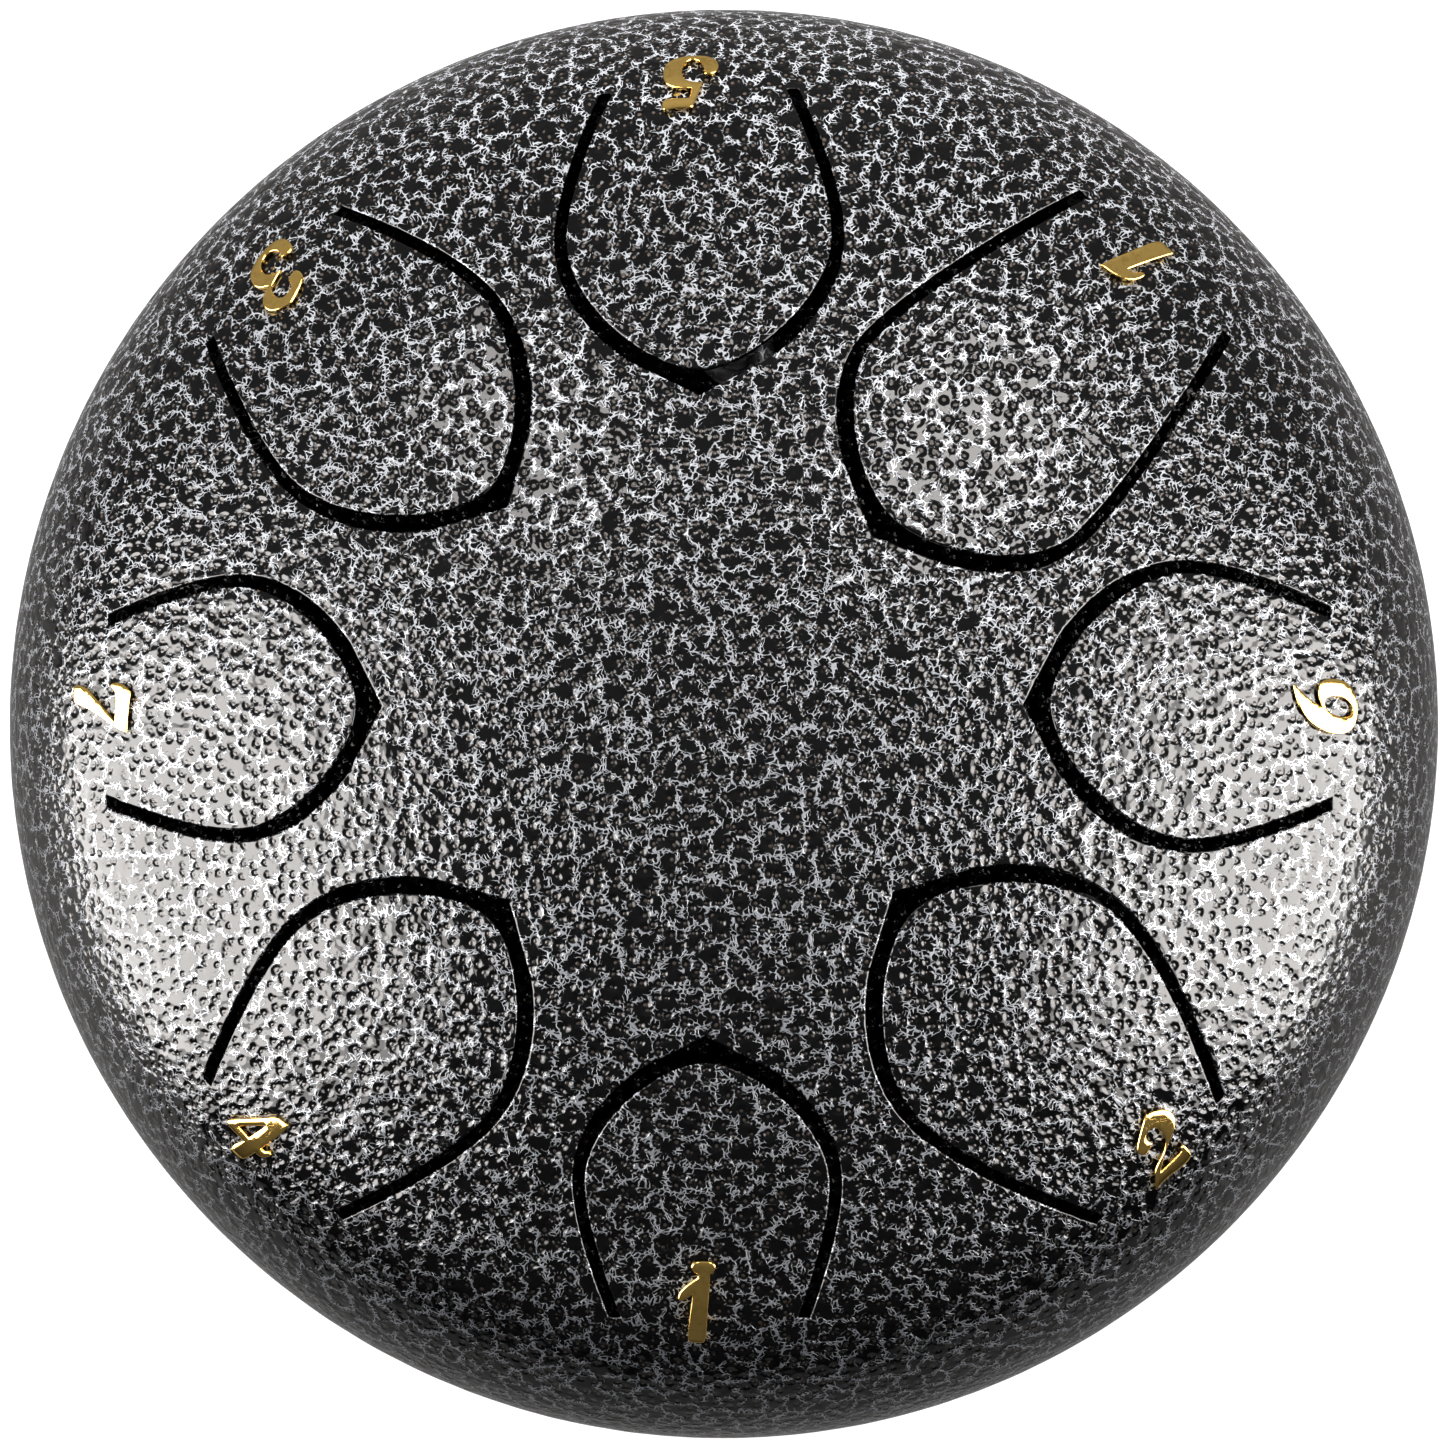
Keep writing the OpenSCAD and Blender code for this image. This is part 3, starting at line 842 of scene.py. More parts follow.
@dataclass(frozen=True)
class Dome:
    """Section of a dome: a shallow crown, a round shoulder that meets it tangentially, and a straight wall.

    Its flat coordinates are the sheet unrolled from the axis outwards, so that nothing is squeezed along
    a spoke.
    """

    drum_r: float
    seam_z: float
    side: int
    crown_r: float = 180.0
    shoulder_r: float = 26.0
    wall_h: float = 5.0
    sheet_t: float = 1.5
    half_gap: float = 0.5

    @property
    def shoulder_x(self) -> float:
        """Distance of the shoulder's centre from the axis."""
        return self.drum_r - self.shoulder_r

    @property
    def tangent(self) -> float:
        """Angle at which the crown meets the shoulder, in radians."""
        return math.asin(self.shoulder_x / (self.crown_r - self.shoulder_r))

    @property
    def crown_drop(self) -> float:
        """Depth of the crown's centre under the shoulder's."""
        return (self.crown_r - self.shoulder_r) * math.cos(self.tangent)

    def flat_radius(self, r: np.ndarray, depth: np.ndarray | float) -> np.ndarray:
        """Length along the sheet from the axis to a distance r from it.

        Args:
            r: Distances from the axis.
            depth: Depth under the outer surface.

        Returns:
            The lengths.
        """
        crown, shoulder = self.crown_r - depth, self.shoulder_r - depth
        on_crown = crown * np.arcsin(np.clip(r / crown, 0, 1))
        turn = np.arcsin(np.clip((r - self.shoulder_x) / shoulder, -1, 1))
        on_shoulder = crown * self.tangent + shoulder * (turn - self.tangent)
        return np.where(r < crown * math.sin(self.tangent), on_crown, on_shoulder)

    def flat_rim(self, depth: float) -> float:
        """Length along the sheet from the axis to its edge at the seam.

        Args:
            depth: Depth under the outer surface.

        Returns:
            The length.
        """
        crown, shoulder = self.crown_r - depth, self.shoulder_r - depth
        turn = math.pi / 2 - self.tangent
        return crown * self.tangent + shoulder * turn + self.wall_h - self.half_gap

    def section(self, s: np.ndarray, depth: np.ndarray | float) -> tuple[np.ndarray, np.ndarray, np.ndarray]:
        """Point of the section at a length along the sheet.

        Args:
            s: Lengths from the axis.
            depth: Depth under the outer surface.

        Returns:
            Distance from the axis, height over the seam and slope in radians.
        """
        crown, shoulder = self.crown_r - depth, self.shoulder_r - depth
        s_crown = crown * self.tangent
        s_wall = s_crown + shoulder * (math.pi / 2 - self.tangent)
        slope = np.where(s < s_crown, s / crown, self.tangent + (s - s_crown) / shoulder)
        slope = np.minimum(slope, math.pi / 2)
        r = np.where(s < s_crown, crown * np.sin(slope), self.shoulder_x + shoulder * np.sin(slope))
        z_crown = crown * np.cos(slope) - self.crown_drop
        z = np.where(s < s_crown, z_crown, shoulder * np.cos(slope)) + self.wall_h
        return r, z - np.maximum(s - s_wall, 0), slope

    def to_flat(self, plan: np.ndarray, depth: np.ndarray | float) -> np.ndarray:
        """Flat coordinates of points in plan.

        Args:
            plan: The points, seen along the axis.
            depth: Depth under the outer surface.

        Returns:
            Their flat coordinates.
        """
        r = np.maximum(np.linalg.norm(plan, axis=1), 1e-9)
        return plan * (self.flat_radius(r, depth) / r)[:, None]

    def lift(
        self, flat: np.ndarray, depth: np.ndarray | float, raised: np.ndarray | float = 0.0,
    ) -> np.ndarray:
        """Points in space of flat coordinates.

        Args:
            flat: The flat coordinates.
            depth: Depth under the outer surface.
            raised: Height above that layer, square to it.

        Returns:
            The points, in the frame of the model.
        """
        s = np.linalg.norm(flat, axis=1)
        spoke = flat / np.maximum(s, 1e-9)[:, None]
        r, z, slope = self.section(s, depth)
        r, z = r + raised * np.sin(slope), z + raised * np.cos(slope)
        return np.column_stack([spoke * r[:, None], self.seam_z + self.side * z])


@dataclass
class Opening:
    """A hole through the sheet: its loop in plan runs counter-clockwise round the hole.

    A slot's tongue lies between the loop's points first and last, the ends of the line that it bends at.
    """

    loop: np.ndarray
    first: int = 0
    last: int = 0

    @property
    def has_tongue(self) -> bool:
        """Whether a tongue lies inside it."""
        return self.last > self.first


@dataclass(frozen=True)
class Tongue:
    """One note: a tongue and the slot round it, along the spoke at its direction."""

    name: str
    direction: float
    tip: float
    root_in: float
    belly: float
    shoulder: float
    root_half: float
    slot_w: float = 1.25
    flexure: float = 6.5

    def legs(self, start: float, belly: float, root: float, half: float, step: float) -> np.ndarray:
        """Side of the outline from its widest place to the root.

        Args:
            start: Distance of the widest place from the axis.
            belly: Half width there.
            root: Distance of the root from the axis.
            half: Half width there.
            step: Distance between the points.

        Returns:
            The points, without the first.
        """
        long = root - start
        bend = (root - 0.27 * long, half + 0.4 * (belly - half))
        return cubic([(start, belly), (start + 0.3 * long, belly), bend, (root, half)], step)

    def opening(self, drum_r: float, step: float) -> Opening:
        """The slot as a loop: its outer edge from end to end, and back along the tongue.

        Args:
            drum_r: Radius of the drum.
            step: Distance between the points.

        Returns:
            The opening, with the tongue between its inner corners.
        """
        root, tip, reach = drum_r - self.root_in, self.tip, self.shoulder
        # The factors are the shape that all the slots share: a pointed tip, straight flanks, a round belly.
        flank = (tip + 0.21 * reach, 0.46 * self.belly)
        curve = [flank, (tip + 0.38 * reach, 0.75 * self.belly), (tip + 0.66 * reach, self.belly)]
        outer = np.concatenate([
            [(tip, 0.0)],
            straight((tip, 0.0), flank, step),
            cubic([*curve, (tip + reach, self.belly)], step),
            self.legs(tip + reach, self.belly, root, self.root_half, step)])
        nose, belly = tip + 2.2 * self.slot_w, self.belly - self.slot_w
        curve = [(nose, 0.0), (nose, 0.38 * belly), (tip + 0.6 * reach, belly), (tip + reach, belly)]
        inner = np.concatenate([
            [(nose, 0.0)],
            cubic(curve, step),
            self.legs(tip + reach, belly, root, self.root_half - self.slot_w, step)])
        flip = np.array([1.0, -1.0])
        there = np.concatenate([outer[::-1], outer[1:] * flip])
        end = straight(there[-1], inner[-1] * flip, step)
        back = np.concatenate([end[:-1], (inner * flip)[::-1], inner[1:]])
        close = straight(back[-1], there[0], step)[:-1]
        loop = np.concatenate([there, back, close])
        first = len(there) + len(end) - 1
        last = len(there) + len(back) - 1
        return Opening(turned(loop, self.direction), first, last)


TONGUES = (
    Tongue("6", 0, 32.4, 13.2, 14.9, 17, 10.5),
    Tongue("1", 45, 24.2, 11.8, 15.6, 15, 11.1),
    Tongue("5", 91, 31.7, 12.6, 15, 17, 10.4),
    Tongue("3", 135, 28.6, 12.6, 14.9, 18.6, 10.2),
    Tongue("7", 180, 33.1, 14.5, 13.8, 15.6, 10.1),
    Tongue("4", 225, 28.2, 13.1, 14.9, 18.2, 10.4),
    Tongue("high_1", 270, 33.7, 14.7, 13.8, 15, 10.4),
    Tongue("2", 315, 27.1, 11.7, 15.7, 18, 9.4),
)


@dataclass
class Layer:
    """One surface of a sheet: its triangles, and for each the part that it belongs to."""

    triangles: np.ndarray
    part: np.ndarray


@dataclass
class SheetDome:
    """A dome of painted sheet with openings, as one closed mesh, and the tongues that the slots leave in it.

    The outer surface is a fine lattice with the dents of the hammered lacquer. The edges of the openings are
    rounded over, and their walls run down to a coarser inner surface.
    """

    dome: Dome
    openings: list[Opening]
    pitch: float = 0.58
    inner_pitch: float = 2.2
    edge_r: float = 0.2
    edge_steps: int = 4
    dent: float = 0.05
    dent_size: float = 3.2
    dent_layer: float = 40.0
    rim_spacing: float = 1.4
    points: list[np.ndarray] = field(default_factory=list)
    skins: list[np.ndarray] = field(default_factory=list)
    count: int = 0

    def keep(self, flat: np.ndarray, depth: float, dented: float = 0.0) -> np.ndarray:
        """Adds points of one layer.

        Args:
            flat: Their flat coordinates.
            depth: The layer's depth.
            dented: How much of the dents shows, from 0 to 1.

        Returns:
            Their numbers.
        """
        raised = self.dents(flat) * dented if dented > 0 else 0.0
        self.points.append(self.dome.lift(flat, depth, raised))
        self.skins.append(np.column_stack([flat, np.full(len(flat), depth)]))
        self.count += len(flat)
        return np.arange(self.count - len(flat), self.count)

    def dents(self, flat: np.ndarray) -> np.ndarray:
        """Height of the dents, which are rounded and touch each other, like beaten metal.

        Args:
            flat: Flat coordinates.

        Returns:
            Heights, never above the dome's own surface.
        """
        layer = self.dome.side * self.dent_layer
        place = np.column_stack([flat / self.dent_size, np.full(len(flat), layer)]).tolist()
        return np.array([-self.dent * (0.5 + 0.5 * noise.noise(p)) for p in place])

    def lattice(self, rim: float, pitch: float, keep_off: np.ndarray) -> np.ndarray:
        """Points of an even triangular lattice.

        Args:
            rim: Radius that it fills.
            pitch: Distance between the points.
            keep_off: Points that it stays clear of.

        Returns:
            The points.
        """
        row_gap, cell = pitch * math.sqrt(3) / 2, 0.6 * pitch
        rows = math.ceil(rim / row_gap)
        columns = math.ceil(rim / pitch)
        j, i = np.mgrid[-rows:rows + 1, -columns:columns + 1]
        grid = np.stack([(i + 0.5 * (j % 2)) * pitch, j * row_gap], axis=-1).reshape(-1, 2)
        grid = grid[np.linalg.norm(grid, axis=1) < rim - cell]
        low = grid.min(axis=0) - 2 * cell
        shape = ((grid.max(axis=0) - low) / cell).astype(int) + 4
        taken = np.zeros(shape, bool)
        spots = ((keep_off - low) / cell).astype(int)
        spots = spots[((spots > 0) & (spots < shape - 1)).all(axis=1)]
        taken[spots[:, 0], spots[:, 1]] = True
        own = ((grid - low) / cell).astype(int)
        return grid[~taken[own[:, 0], own[:, 1]]]

    def fill(
        self, fixed: list[np.ndarray], chains: list[np.ndarray], voids: list[np.ndarray],
        tongues: list[np.ndarray], pitch: float, depth: float, dented: float,
    ) -> Layer:
        """Triangulates one surface between the rim and the openings.

        Args:
            fixed: Numbers of the points that exist already.
            chains: Point numbers of lines that the triangles keep to, open.
            voids: Point numbers round each opening.
            tongues: Point numbers round each tongue.
            pitch: Distance between the lattice's points.
            depth: The layer's depth.
            dented: How much of the dents shows.

        Returns:
            The layer, with part 0 for the dome and 1 and up for the tongues.
        """
        skins = np.concatenate(self.skins)[:, :2]
        rim = self.dome.flat_rim(depth)
        numbers = np.concatenate(fixed)
        grid = self.lattice(rim, pitch, skins[numbers])
        flat = np.concatenate([skins[numbers], grid])
        numbers = np.concatenate([numbers, self.keep(grid, depth, dented)])
        where = {int(n): k for k, n in enumerate(numbers)}
        edges = [(where[int(a)], where[int(b)]) for chain in chains for a, b in zip(chain[:-1], chain[1:])]
        triangles = triangulated(flat, edges)
        middle = flat[triangles].mean(axis=1)
        part = np.zeros(len(triangles), int)
        for void in voids:
            part[inside(middle, skins[void])] = -1
        for k, tongue in enumerate(tongues):
            part[(part == 0) & inside(middle, skins[tongue])] = k + 1
        part[np.linalg.norm(middle, axis=1) > rim] = -1
        return Layer(numbers[triangles][part >= 0], part[part >= 0])

    def levels(self) -> list[tuple[float, float]]:
        """Rows down the wall of an opening, from the outer surface to the inner one.

        Returns:
            For each row, how far the opening's loop is grown and the depth.
        """
        turns = [math.pi / 2 * k / self.edge_steps for k in range(self.edge_steps + 1)]
        rounded = [(self.edge_r * (1 - math.sin(a)), self.edge_r * (1 - math.cos(a))) for a in turns]
        return [*rounded, (0.0, self.dome.sheet_t / 2), (0.0, self.dome.sheet_t)]

    def walls(self, opening: Opening) -> tuple[list[np.ndarray], list[np.ndarray]]:
        """Adds the rows of points down the wall of an opening, and across the root of its tongue.

        Args:
            opening: The opening.

        Returns:
            Point numbers by level: round the opening, and across the root if there is a tongue.
        """
        rows, across = [], []
        for grow, depth in self.levels():
            plan = grown(opening.loop, grow)
            shown = max(0.0, 1 - depth / self.edge_r)
            rows.append(self.keep(self.dome.to_flat(plan, depth), depth, shown))
            if opening.has_tongue:
                a, b = plan[opening.last], plan[opening.first]
                root = opening.loop[opening.first] - opening.loop[opening.last]
                count = math.ceil(np.linalg.norm(root) / self.pitch)
                line = a + np.linspace(0, 1, count + 1)[1:-1, None] * (b - a)
                between = self.keep(self.dome.to_flat(line, depth), depth, shown)
                across.append(np.concatenate([rows[-1][[opening.last]], between, rows[-1][[opening.first]]]))
        return rows, across

    def surface(
        self, level: int, pitch: float, dented: float, walls: list[tuple],
    ) -> tuple[Layer, np.ndarray]:
        """Builds the outer or the inner surface.

        Args:
            level: Which of the levels it lies at.
            pitch: Distance between the lattice's points.
            dented: How much of the dents shows.
            walls: What walls returned for each opening.

        Returns:
            The layer, and the point numbers round its rim.
        """
        depth = self.levels()[level][1]
        count = math.ceil(FULL_TURN * self.dome.flat_rim(0.0) / (self.rim_spacing * self.pitch))
        rim = self.keep(self.dome.flat_rim(depth) * circle(count), depth)
        voids = [rows[level] for rows, _ in walls]
        roots = [across[level] for _, across in walls if across]
        tongues = []
        for opening, (rows, across) in zip(self.openings, walls):
            if opening.has_tongue:
                edge = rows[level][opening.first:opening.last + 1]
                tongues.append(np.concatenate([edge, across[level][1:-1]]))
        chains = [np.append(void, void[0]) for void in voids] + roots + [np.append(rim, rim[0])]
        fixed = voids + [root[1:-1] for root in roots] + [rim]
        return self.fill(fixed, chains, voids, tongues, pitch, depth, dented), rim

    def build(self) -> tuple[MeshDraft, list[MeshDraft]]:
        """Builds the mesh and parts it.

        Returns:
            The dome's draft and the tongues' drafts, in the order of the openings that have one.
        """
        walls = [self.walls(opening) for opening in self.openings]
        outer, outer_rim = self.surface(0, self.pitch, 1.0, walls)
        inner, inner_rim = self.surface(-1, self.inner_pitch, 0.0, walls)
        faces, part, finish, hidden = [], [], [], []

        def put(strip: np.ndarray, owner: object, look: int, unseen: bool = False) -> None:
            """Adds triangles.

            Args:
                strip: The triangles.
                owner: The part that they belong to, or one part for each.
                look: Number of their finish.
                unseen: Whether they are left out of the normals.
            """
            faces.append(strip)
            part.append(np.zeros(len(strip), int) + owner)
            finish.append(np.full(len(strip), look))
            hidden.append(np.full(len(strip), unseen))

        put(outer.triangles, outer.part, 0)
        put(inner.triangles[:, ::-1], inner.part, 1)
        owner = 0
        for opening, (rows, across) in zip(self.openings, walls):
            owner += opening.has_tongue
            own = slice(opening.first, opening.last + 1)
            rest = np.append(np.arange(opening.last, len(rows[0])), np.arange(0, opening.first + 1))
            for upper, lower in zip(rows[:-1], rows[1:]):
                if not opening.has_tongue:
                    put(quads(upper, lower, closed=True), 0, 0)
                    continue
                put(quads(upper[own], lower[own]), owner, 0)
                put(quads(upper[rest], lower[rest]), 0, 0)
            for upper, lower in zip(across[:-1], across[1:]):
                put(quads(upper, lower), owner, 1, unseen=True)
                put(quads(upper, lower)[:, ::-1], 0, 1, unseen=True)
        put(quads(outer_rim, inner_rim, closed=True)[:, ::-1], 0, 1)
        triangles, part, finish, hidden = map(np.concatenate, (faces, part, finish, hidden))
        if self.dome.side < 0:
            triangles = triangles[:, ::-1]
        points, skins = np.concatenate(self.points), np.concatenate(self.skins)
        normals = point_normals(points, triangles[~hidden])
        log.info("sheet dome: %d triangles in %d parts", len(triangles), owner + 1)
        drafts = [MeshDraft(points, triangles[part == k], finish[part == k], normals, skins)
                  for k in range(owner + 1)]
        return drafts[0], drafts[1:]


@dataclass
class UpperDome:
    """The upper dome with its eight slots, and the eight tongues that they leave."""

    dome: Dome
    palette: Palette
    slot_step: float = 0.5

    def build(self) -> list[bpy.types.Object]:
        """Builds the dome's skin and the tongues' skins.

        Returns:
            The pieces.
        """
        openings = [tongue.opening(self.dome.drum_r, self.slot_step) for tongue in TONGUES]
        shell, tongues = SheetDome(self.dome, openings).build()
        skin = shell.piece("upper_dome")
        self.palette.dress(skin, Finish.PAINT, Finish.INSIDE)
        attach(skin, DRUM)
        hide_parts("top_shell")
        return [skin, *(self.tongue_piece(tongue, draft) for tongue, draft in zip(TONGUES, tongues))]

    def tongue_piece(self, tongue: Tongue, draft: MeshDraft) -> bpy.types.Object:
        """Makes one tongue, which stays in the dome's sheet, inside its slot up to the line between the slot
        ends.

        Args:
            tongue: The note.
            draft: The tongue's draft.

        Returns:
            The piece.
        """
        piece = draft.piece(f"tongue_skin_{tongue.name}")
        self.palette.dress(piece, Finish.PAINT, Finish.INSIDE)
        body = f"tongue_{tongue.name}"
        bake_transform(piece)
        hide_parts(body)
        return piece


@dataclass(frozen=True)
class FootPlan:
    """Where the three feet stand, and how they lean with the dome."""

    radius: float = 46.0
    clear: float = 4.0
    crown_r: float = 180.0
    angles: tuple[float, ...] = (90.0, 210.0, 330.0)

    @property
    def tilt(self) -> float:
        """Angle between a foot's axis and the drum's, in radians."""
        return math.asin(self.radius / self.crown_r)

    @property
    def height(self) -> float:
        """Height of a foot's seat on its axis."""
        return self.clear + self.crown_r - math.sqrt(self.crown_r**2 - self.radius**2)

    def frame(self, angle: float) -> Matrix:
        """Frame of a foot: on the sheet, with Z square to it and into the drum.

        Args:
            angle: The foot's direction from the axis, in degrees.

        Returns:
            The frame, as a matrix in millimetres.
        """
        turn = Matrix.Rotation(math.radians(angle), 4, "Z")
        out = Matrix.Translation((self.radius, 0.0, self.height))
        return turn @ out @ Matrix.Rotation(-self.tilt, 4, "Y")

    def level(self, across: np.ndarray, angle: np.ndarray) -> np.ndarray:
        """Height, in a foot's frame, of the plane that the drum stands on.

        Args:
            across: Distances from the foot's axis.
            angle: Angles about it, in radians.

        Returns:
            The heights.
        """
        return -(self.height + across * np.cos(angle) * math.sin(self.tilt)) / math.cos(self.tilt)


@dataclass
class LowerDome:
    """The lower dome with its sound hole and the holes for the feet's screws."""

    dome: Dome
    palette: Palette
    feet: FootPlan
    hole_r: float = 20.0
    screw_hole_r: float = 2.2
    hole_step: float = 0.6
    fewest_sides: int = 24
    pitch: float = 0.72
    edge_r: float = 0.3

    def ring(self, centre: tuple[float, float], radius: float) -> Opening:
        """A round hole, in plan.

        Args:
            centre: Its centre.
            radius: Its radius.

        Returns:
            The opening.
        """
        count = max(self.fewest_sides, math.ceil(FULL_TURN * radius / self.hole_step))
        return Opening(np.array(centre) + radius * circle(count))

    def build(self) -> bpy.types.Object:
        """Builds the dome.

        Returns:
            The piece.
        """
        openings = [self.ring((0.0, 0.0), self.hole_r)]
        for angle in map(math.radians, self.feet.angles):
            centre = (self.feet.radius * math.cos(angle), self.feet.radius * math.sin(angle))
            openings.append(self.ring(centre, self.screw_hole_r))
        draft, _ = SheetDome(self.dome, openings, pitch=self.pitch, edge_r=self.edge_r).build()
        piece = draft.piece("lower_dome")
        self.palette.dress(piece, Finish.PAINT, Finish.INSIDE)
        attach(piece, DRUM)
        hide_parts("bottom_shell")
        return piece


@dataclass(frozen=True)
class Figure:
    """Outline of a number on a grid ten high. A control point with a third value is a corner."""

    name: str
    inside: float
    aside: float
    outline: tuple[tuple[float, ...], ...]
    counter: tuple[tuple[float, ...], ...] = ()
    steps: int = 9
    step: float = 0.3

    def loop(self, control: tuple[tuple[float, ...], ...], size: float) -> np.ndarray:
        """Points of one closed outline.

        Args:
            control: Its control points.
            size: Height of the number.

        Returns:
            The points, counter-clockwise, centred on the number's middle height.
        """
        grid = size / 10
        spots = [np.array([c[0], c[1] - 5]) * grid for c in control]
        corner = [len(c) > 2 for c in control]
        found: list[np.ndarray] = []
        count = len(control)
        for i, spot in enumerate(spots):
            ahead, behind = (i + 1) % count, i - 1
            end = spots[ahead] if corner[ahead] else (spot + spots[ahead]) / 2
            if corner[i]:
                found.append(spot[None])
                if corner[ahead]:
                    found.append(straight(spot, end, self.step)[:-1])
                continue
            start = spots[behind] if corner[behind] else (spots[behind] + spot) / 2
            curve = bow(start, spot, end, self.steps)
            found.append(curve[:-1] if corner[ahead] else curve)
        loop = np.concatenate(found)
        x, y = loop[:, 0], loop[:, 1]
        area = (x * np.roll(y, -1) - np.roll(x, -1) * y).sum()
        return loop if area > 0 else loop[::-1]


FIGURES = (
    Figure("6", 0.8, 0.1, (
        (2.8, 10, 1), (-1, 9.4), (-3.9, 5), (-3.6, 0.6), (0.3, -0.5), (3.7, 1.2), (4, 5.6), (1.8, 6.6),
        (-0.1, 5.7, 1), (1, 8), (2.9, 9.6, 1)),
        ((1.4, 5.1), (1.5, 2.3), (-0.2, 0.4), (-1.5, 1.2), (-1.1, 4.2), (0.2, 5.4))),
    Figure("1", 1.2, 1.4, (
        (3.2, 10.1, 1), (3.2, 9.6), (1.6, 5), (0.2, 0.3), (-0.9, 0), (-2.7, 0, 1), (0.1, 7.6, 1), (-0.6, 7.7),
        (-1.5, 6.3), (-2.3, 6.3), (-1.7, 8.3), (0.4, 9.9))),
    Figure("5", -0.9, 0.9, (
        (-0.3, 9.8, 1), (2.6, 9.7), (3.9, 10.2), (3.9, 8.2), (2.4, 8.1), (0.1, 8.2, 1), (-0.2, 6.5, 1),
        (3.7, 6.6), (3.9, 1.2), (0.4, -0.2), (-3.2, 0.3), (-4.2, 2.3), (-3.2, 4.1), (-2, 3.8, 1), (-1.8, 1.2),
        (0.4, 0.6), (1.4, 3.3), (0.5, 5.4), (-1.8, 5.4, 1))),
    Figure("3", 0.8, -0.3, (
        (1.4, 10, 1), (4.4, 9.3), (4.6, 6), (2.1, 5.2, 1), (3.7, 4.3), (3, 1), (-1, -0.4), (-4.3, 0.2),
        (-4.5, 3.1), (-3, 3.7), (-2.1, 3.2, 1), (-2.6, 2.1), (-1.6, 0.8), (0.4, 0.9), (1.5, 3), (0.3, 4.5),
        (-0.8, 4.8, 1), (0.6, 5.2), (2.3, 6), (2.3, 8.3), (0.6, 8.5), (-0.4, 8.2), (-0.5, 7.1, 1),
        (-1.6, 6.3), (-2.7, 7), (-2.2, 8.9))),
    Figure("7", -0.4, -0.3, (
        (-2.1, 9.9, 1), (0.2, 9.5), (3.5, 9.3, 1), (3.5, 8.4), (0.6, 4.1), (-0.7, 0.3), (-1.4, 0),
        (-3.1, 0, 1), (-3.5, 0.5), (-2.6, 3.2), (1.9, 7.3, 1), (-1.9, 7.8), (-2.8, 6.6), (-3.5, 6.7),
        (-3.4, 8.7))),
    Figure("4", 0.0, -1.8, (
        (2, 10, 1), (2.1, 8.2), (1.4, 4.2, 1), (2, 4.2), (2.4, 4.9), (3.1, 4.8, 1), (2.9, 2.9), (1.2, 2.9, 1),
        (0.9, 0.9), (0.3, 0.1), (-1.5, 0, 1), (-2.1, 0.6), (-1.1, 2.8, 1), (-3.7, 2.6, 1), (-4.7, 2.7),
        (-4.6, 3.5), (-1, 8.4), (0.1, 9.9)),
        ((-0.3, 7.4, 1), (-0.9, 3.9, 1), (-3, 3.9, 1))),
    Figure("high_1", 0.9, -1.5, (
        (2.2, 10.5, 1), (1.9, 4.6), (1.6, 0.2), (1, 0), (-0.5, 0), (-1.1, 0.6), (-0.2, 7.4, 1), (-1.4, 6.5),
        (-2.4, 6.5), (-1.7, 8.5), (0.5, 10, 1), (0.5, 10.5, 1), (-0.5, 10.9), (-0.3, 12.4), (2.9, 12.4),
        (2.9, 10.8))),
    Figure("2", 1.2, 0.7, (
        (2, 10.1, 1), (4.8, 8.9), (4.5, 5.7), (0.2, 4.1), (-2.1, 2.1, 1), (1.8, 2, 1), (2.2, 2.6), (2.8, 2.6),
        (2.6, 0), (0.4, 0), (-2, 0.6), (-4.4, 0.4, 1), (-3.6, 1.6), (-2.4, 3.2), (0.5, 4.1), (2.1, 6.1),
        (1.6, 8.1), (0.2, 8.1), (-0.6, 7.2), (-0.1, 6.4, 1), (-1.2, 5.8), (-2.4, 6), (-2.6, 7.6))),
)


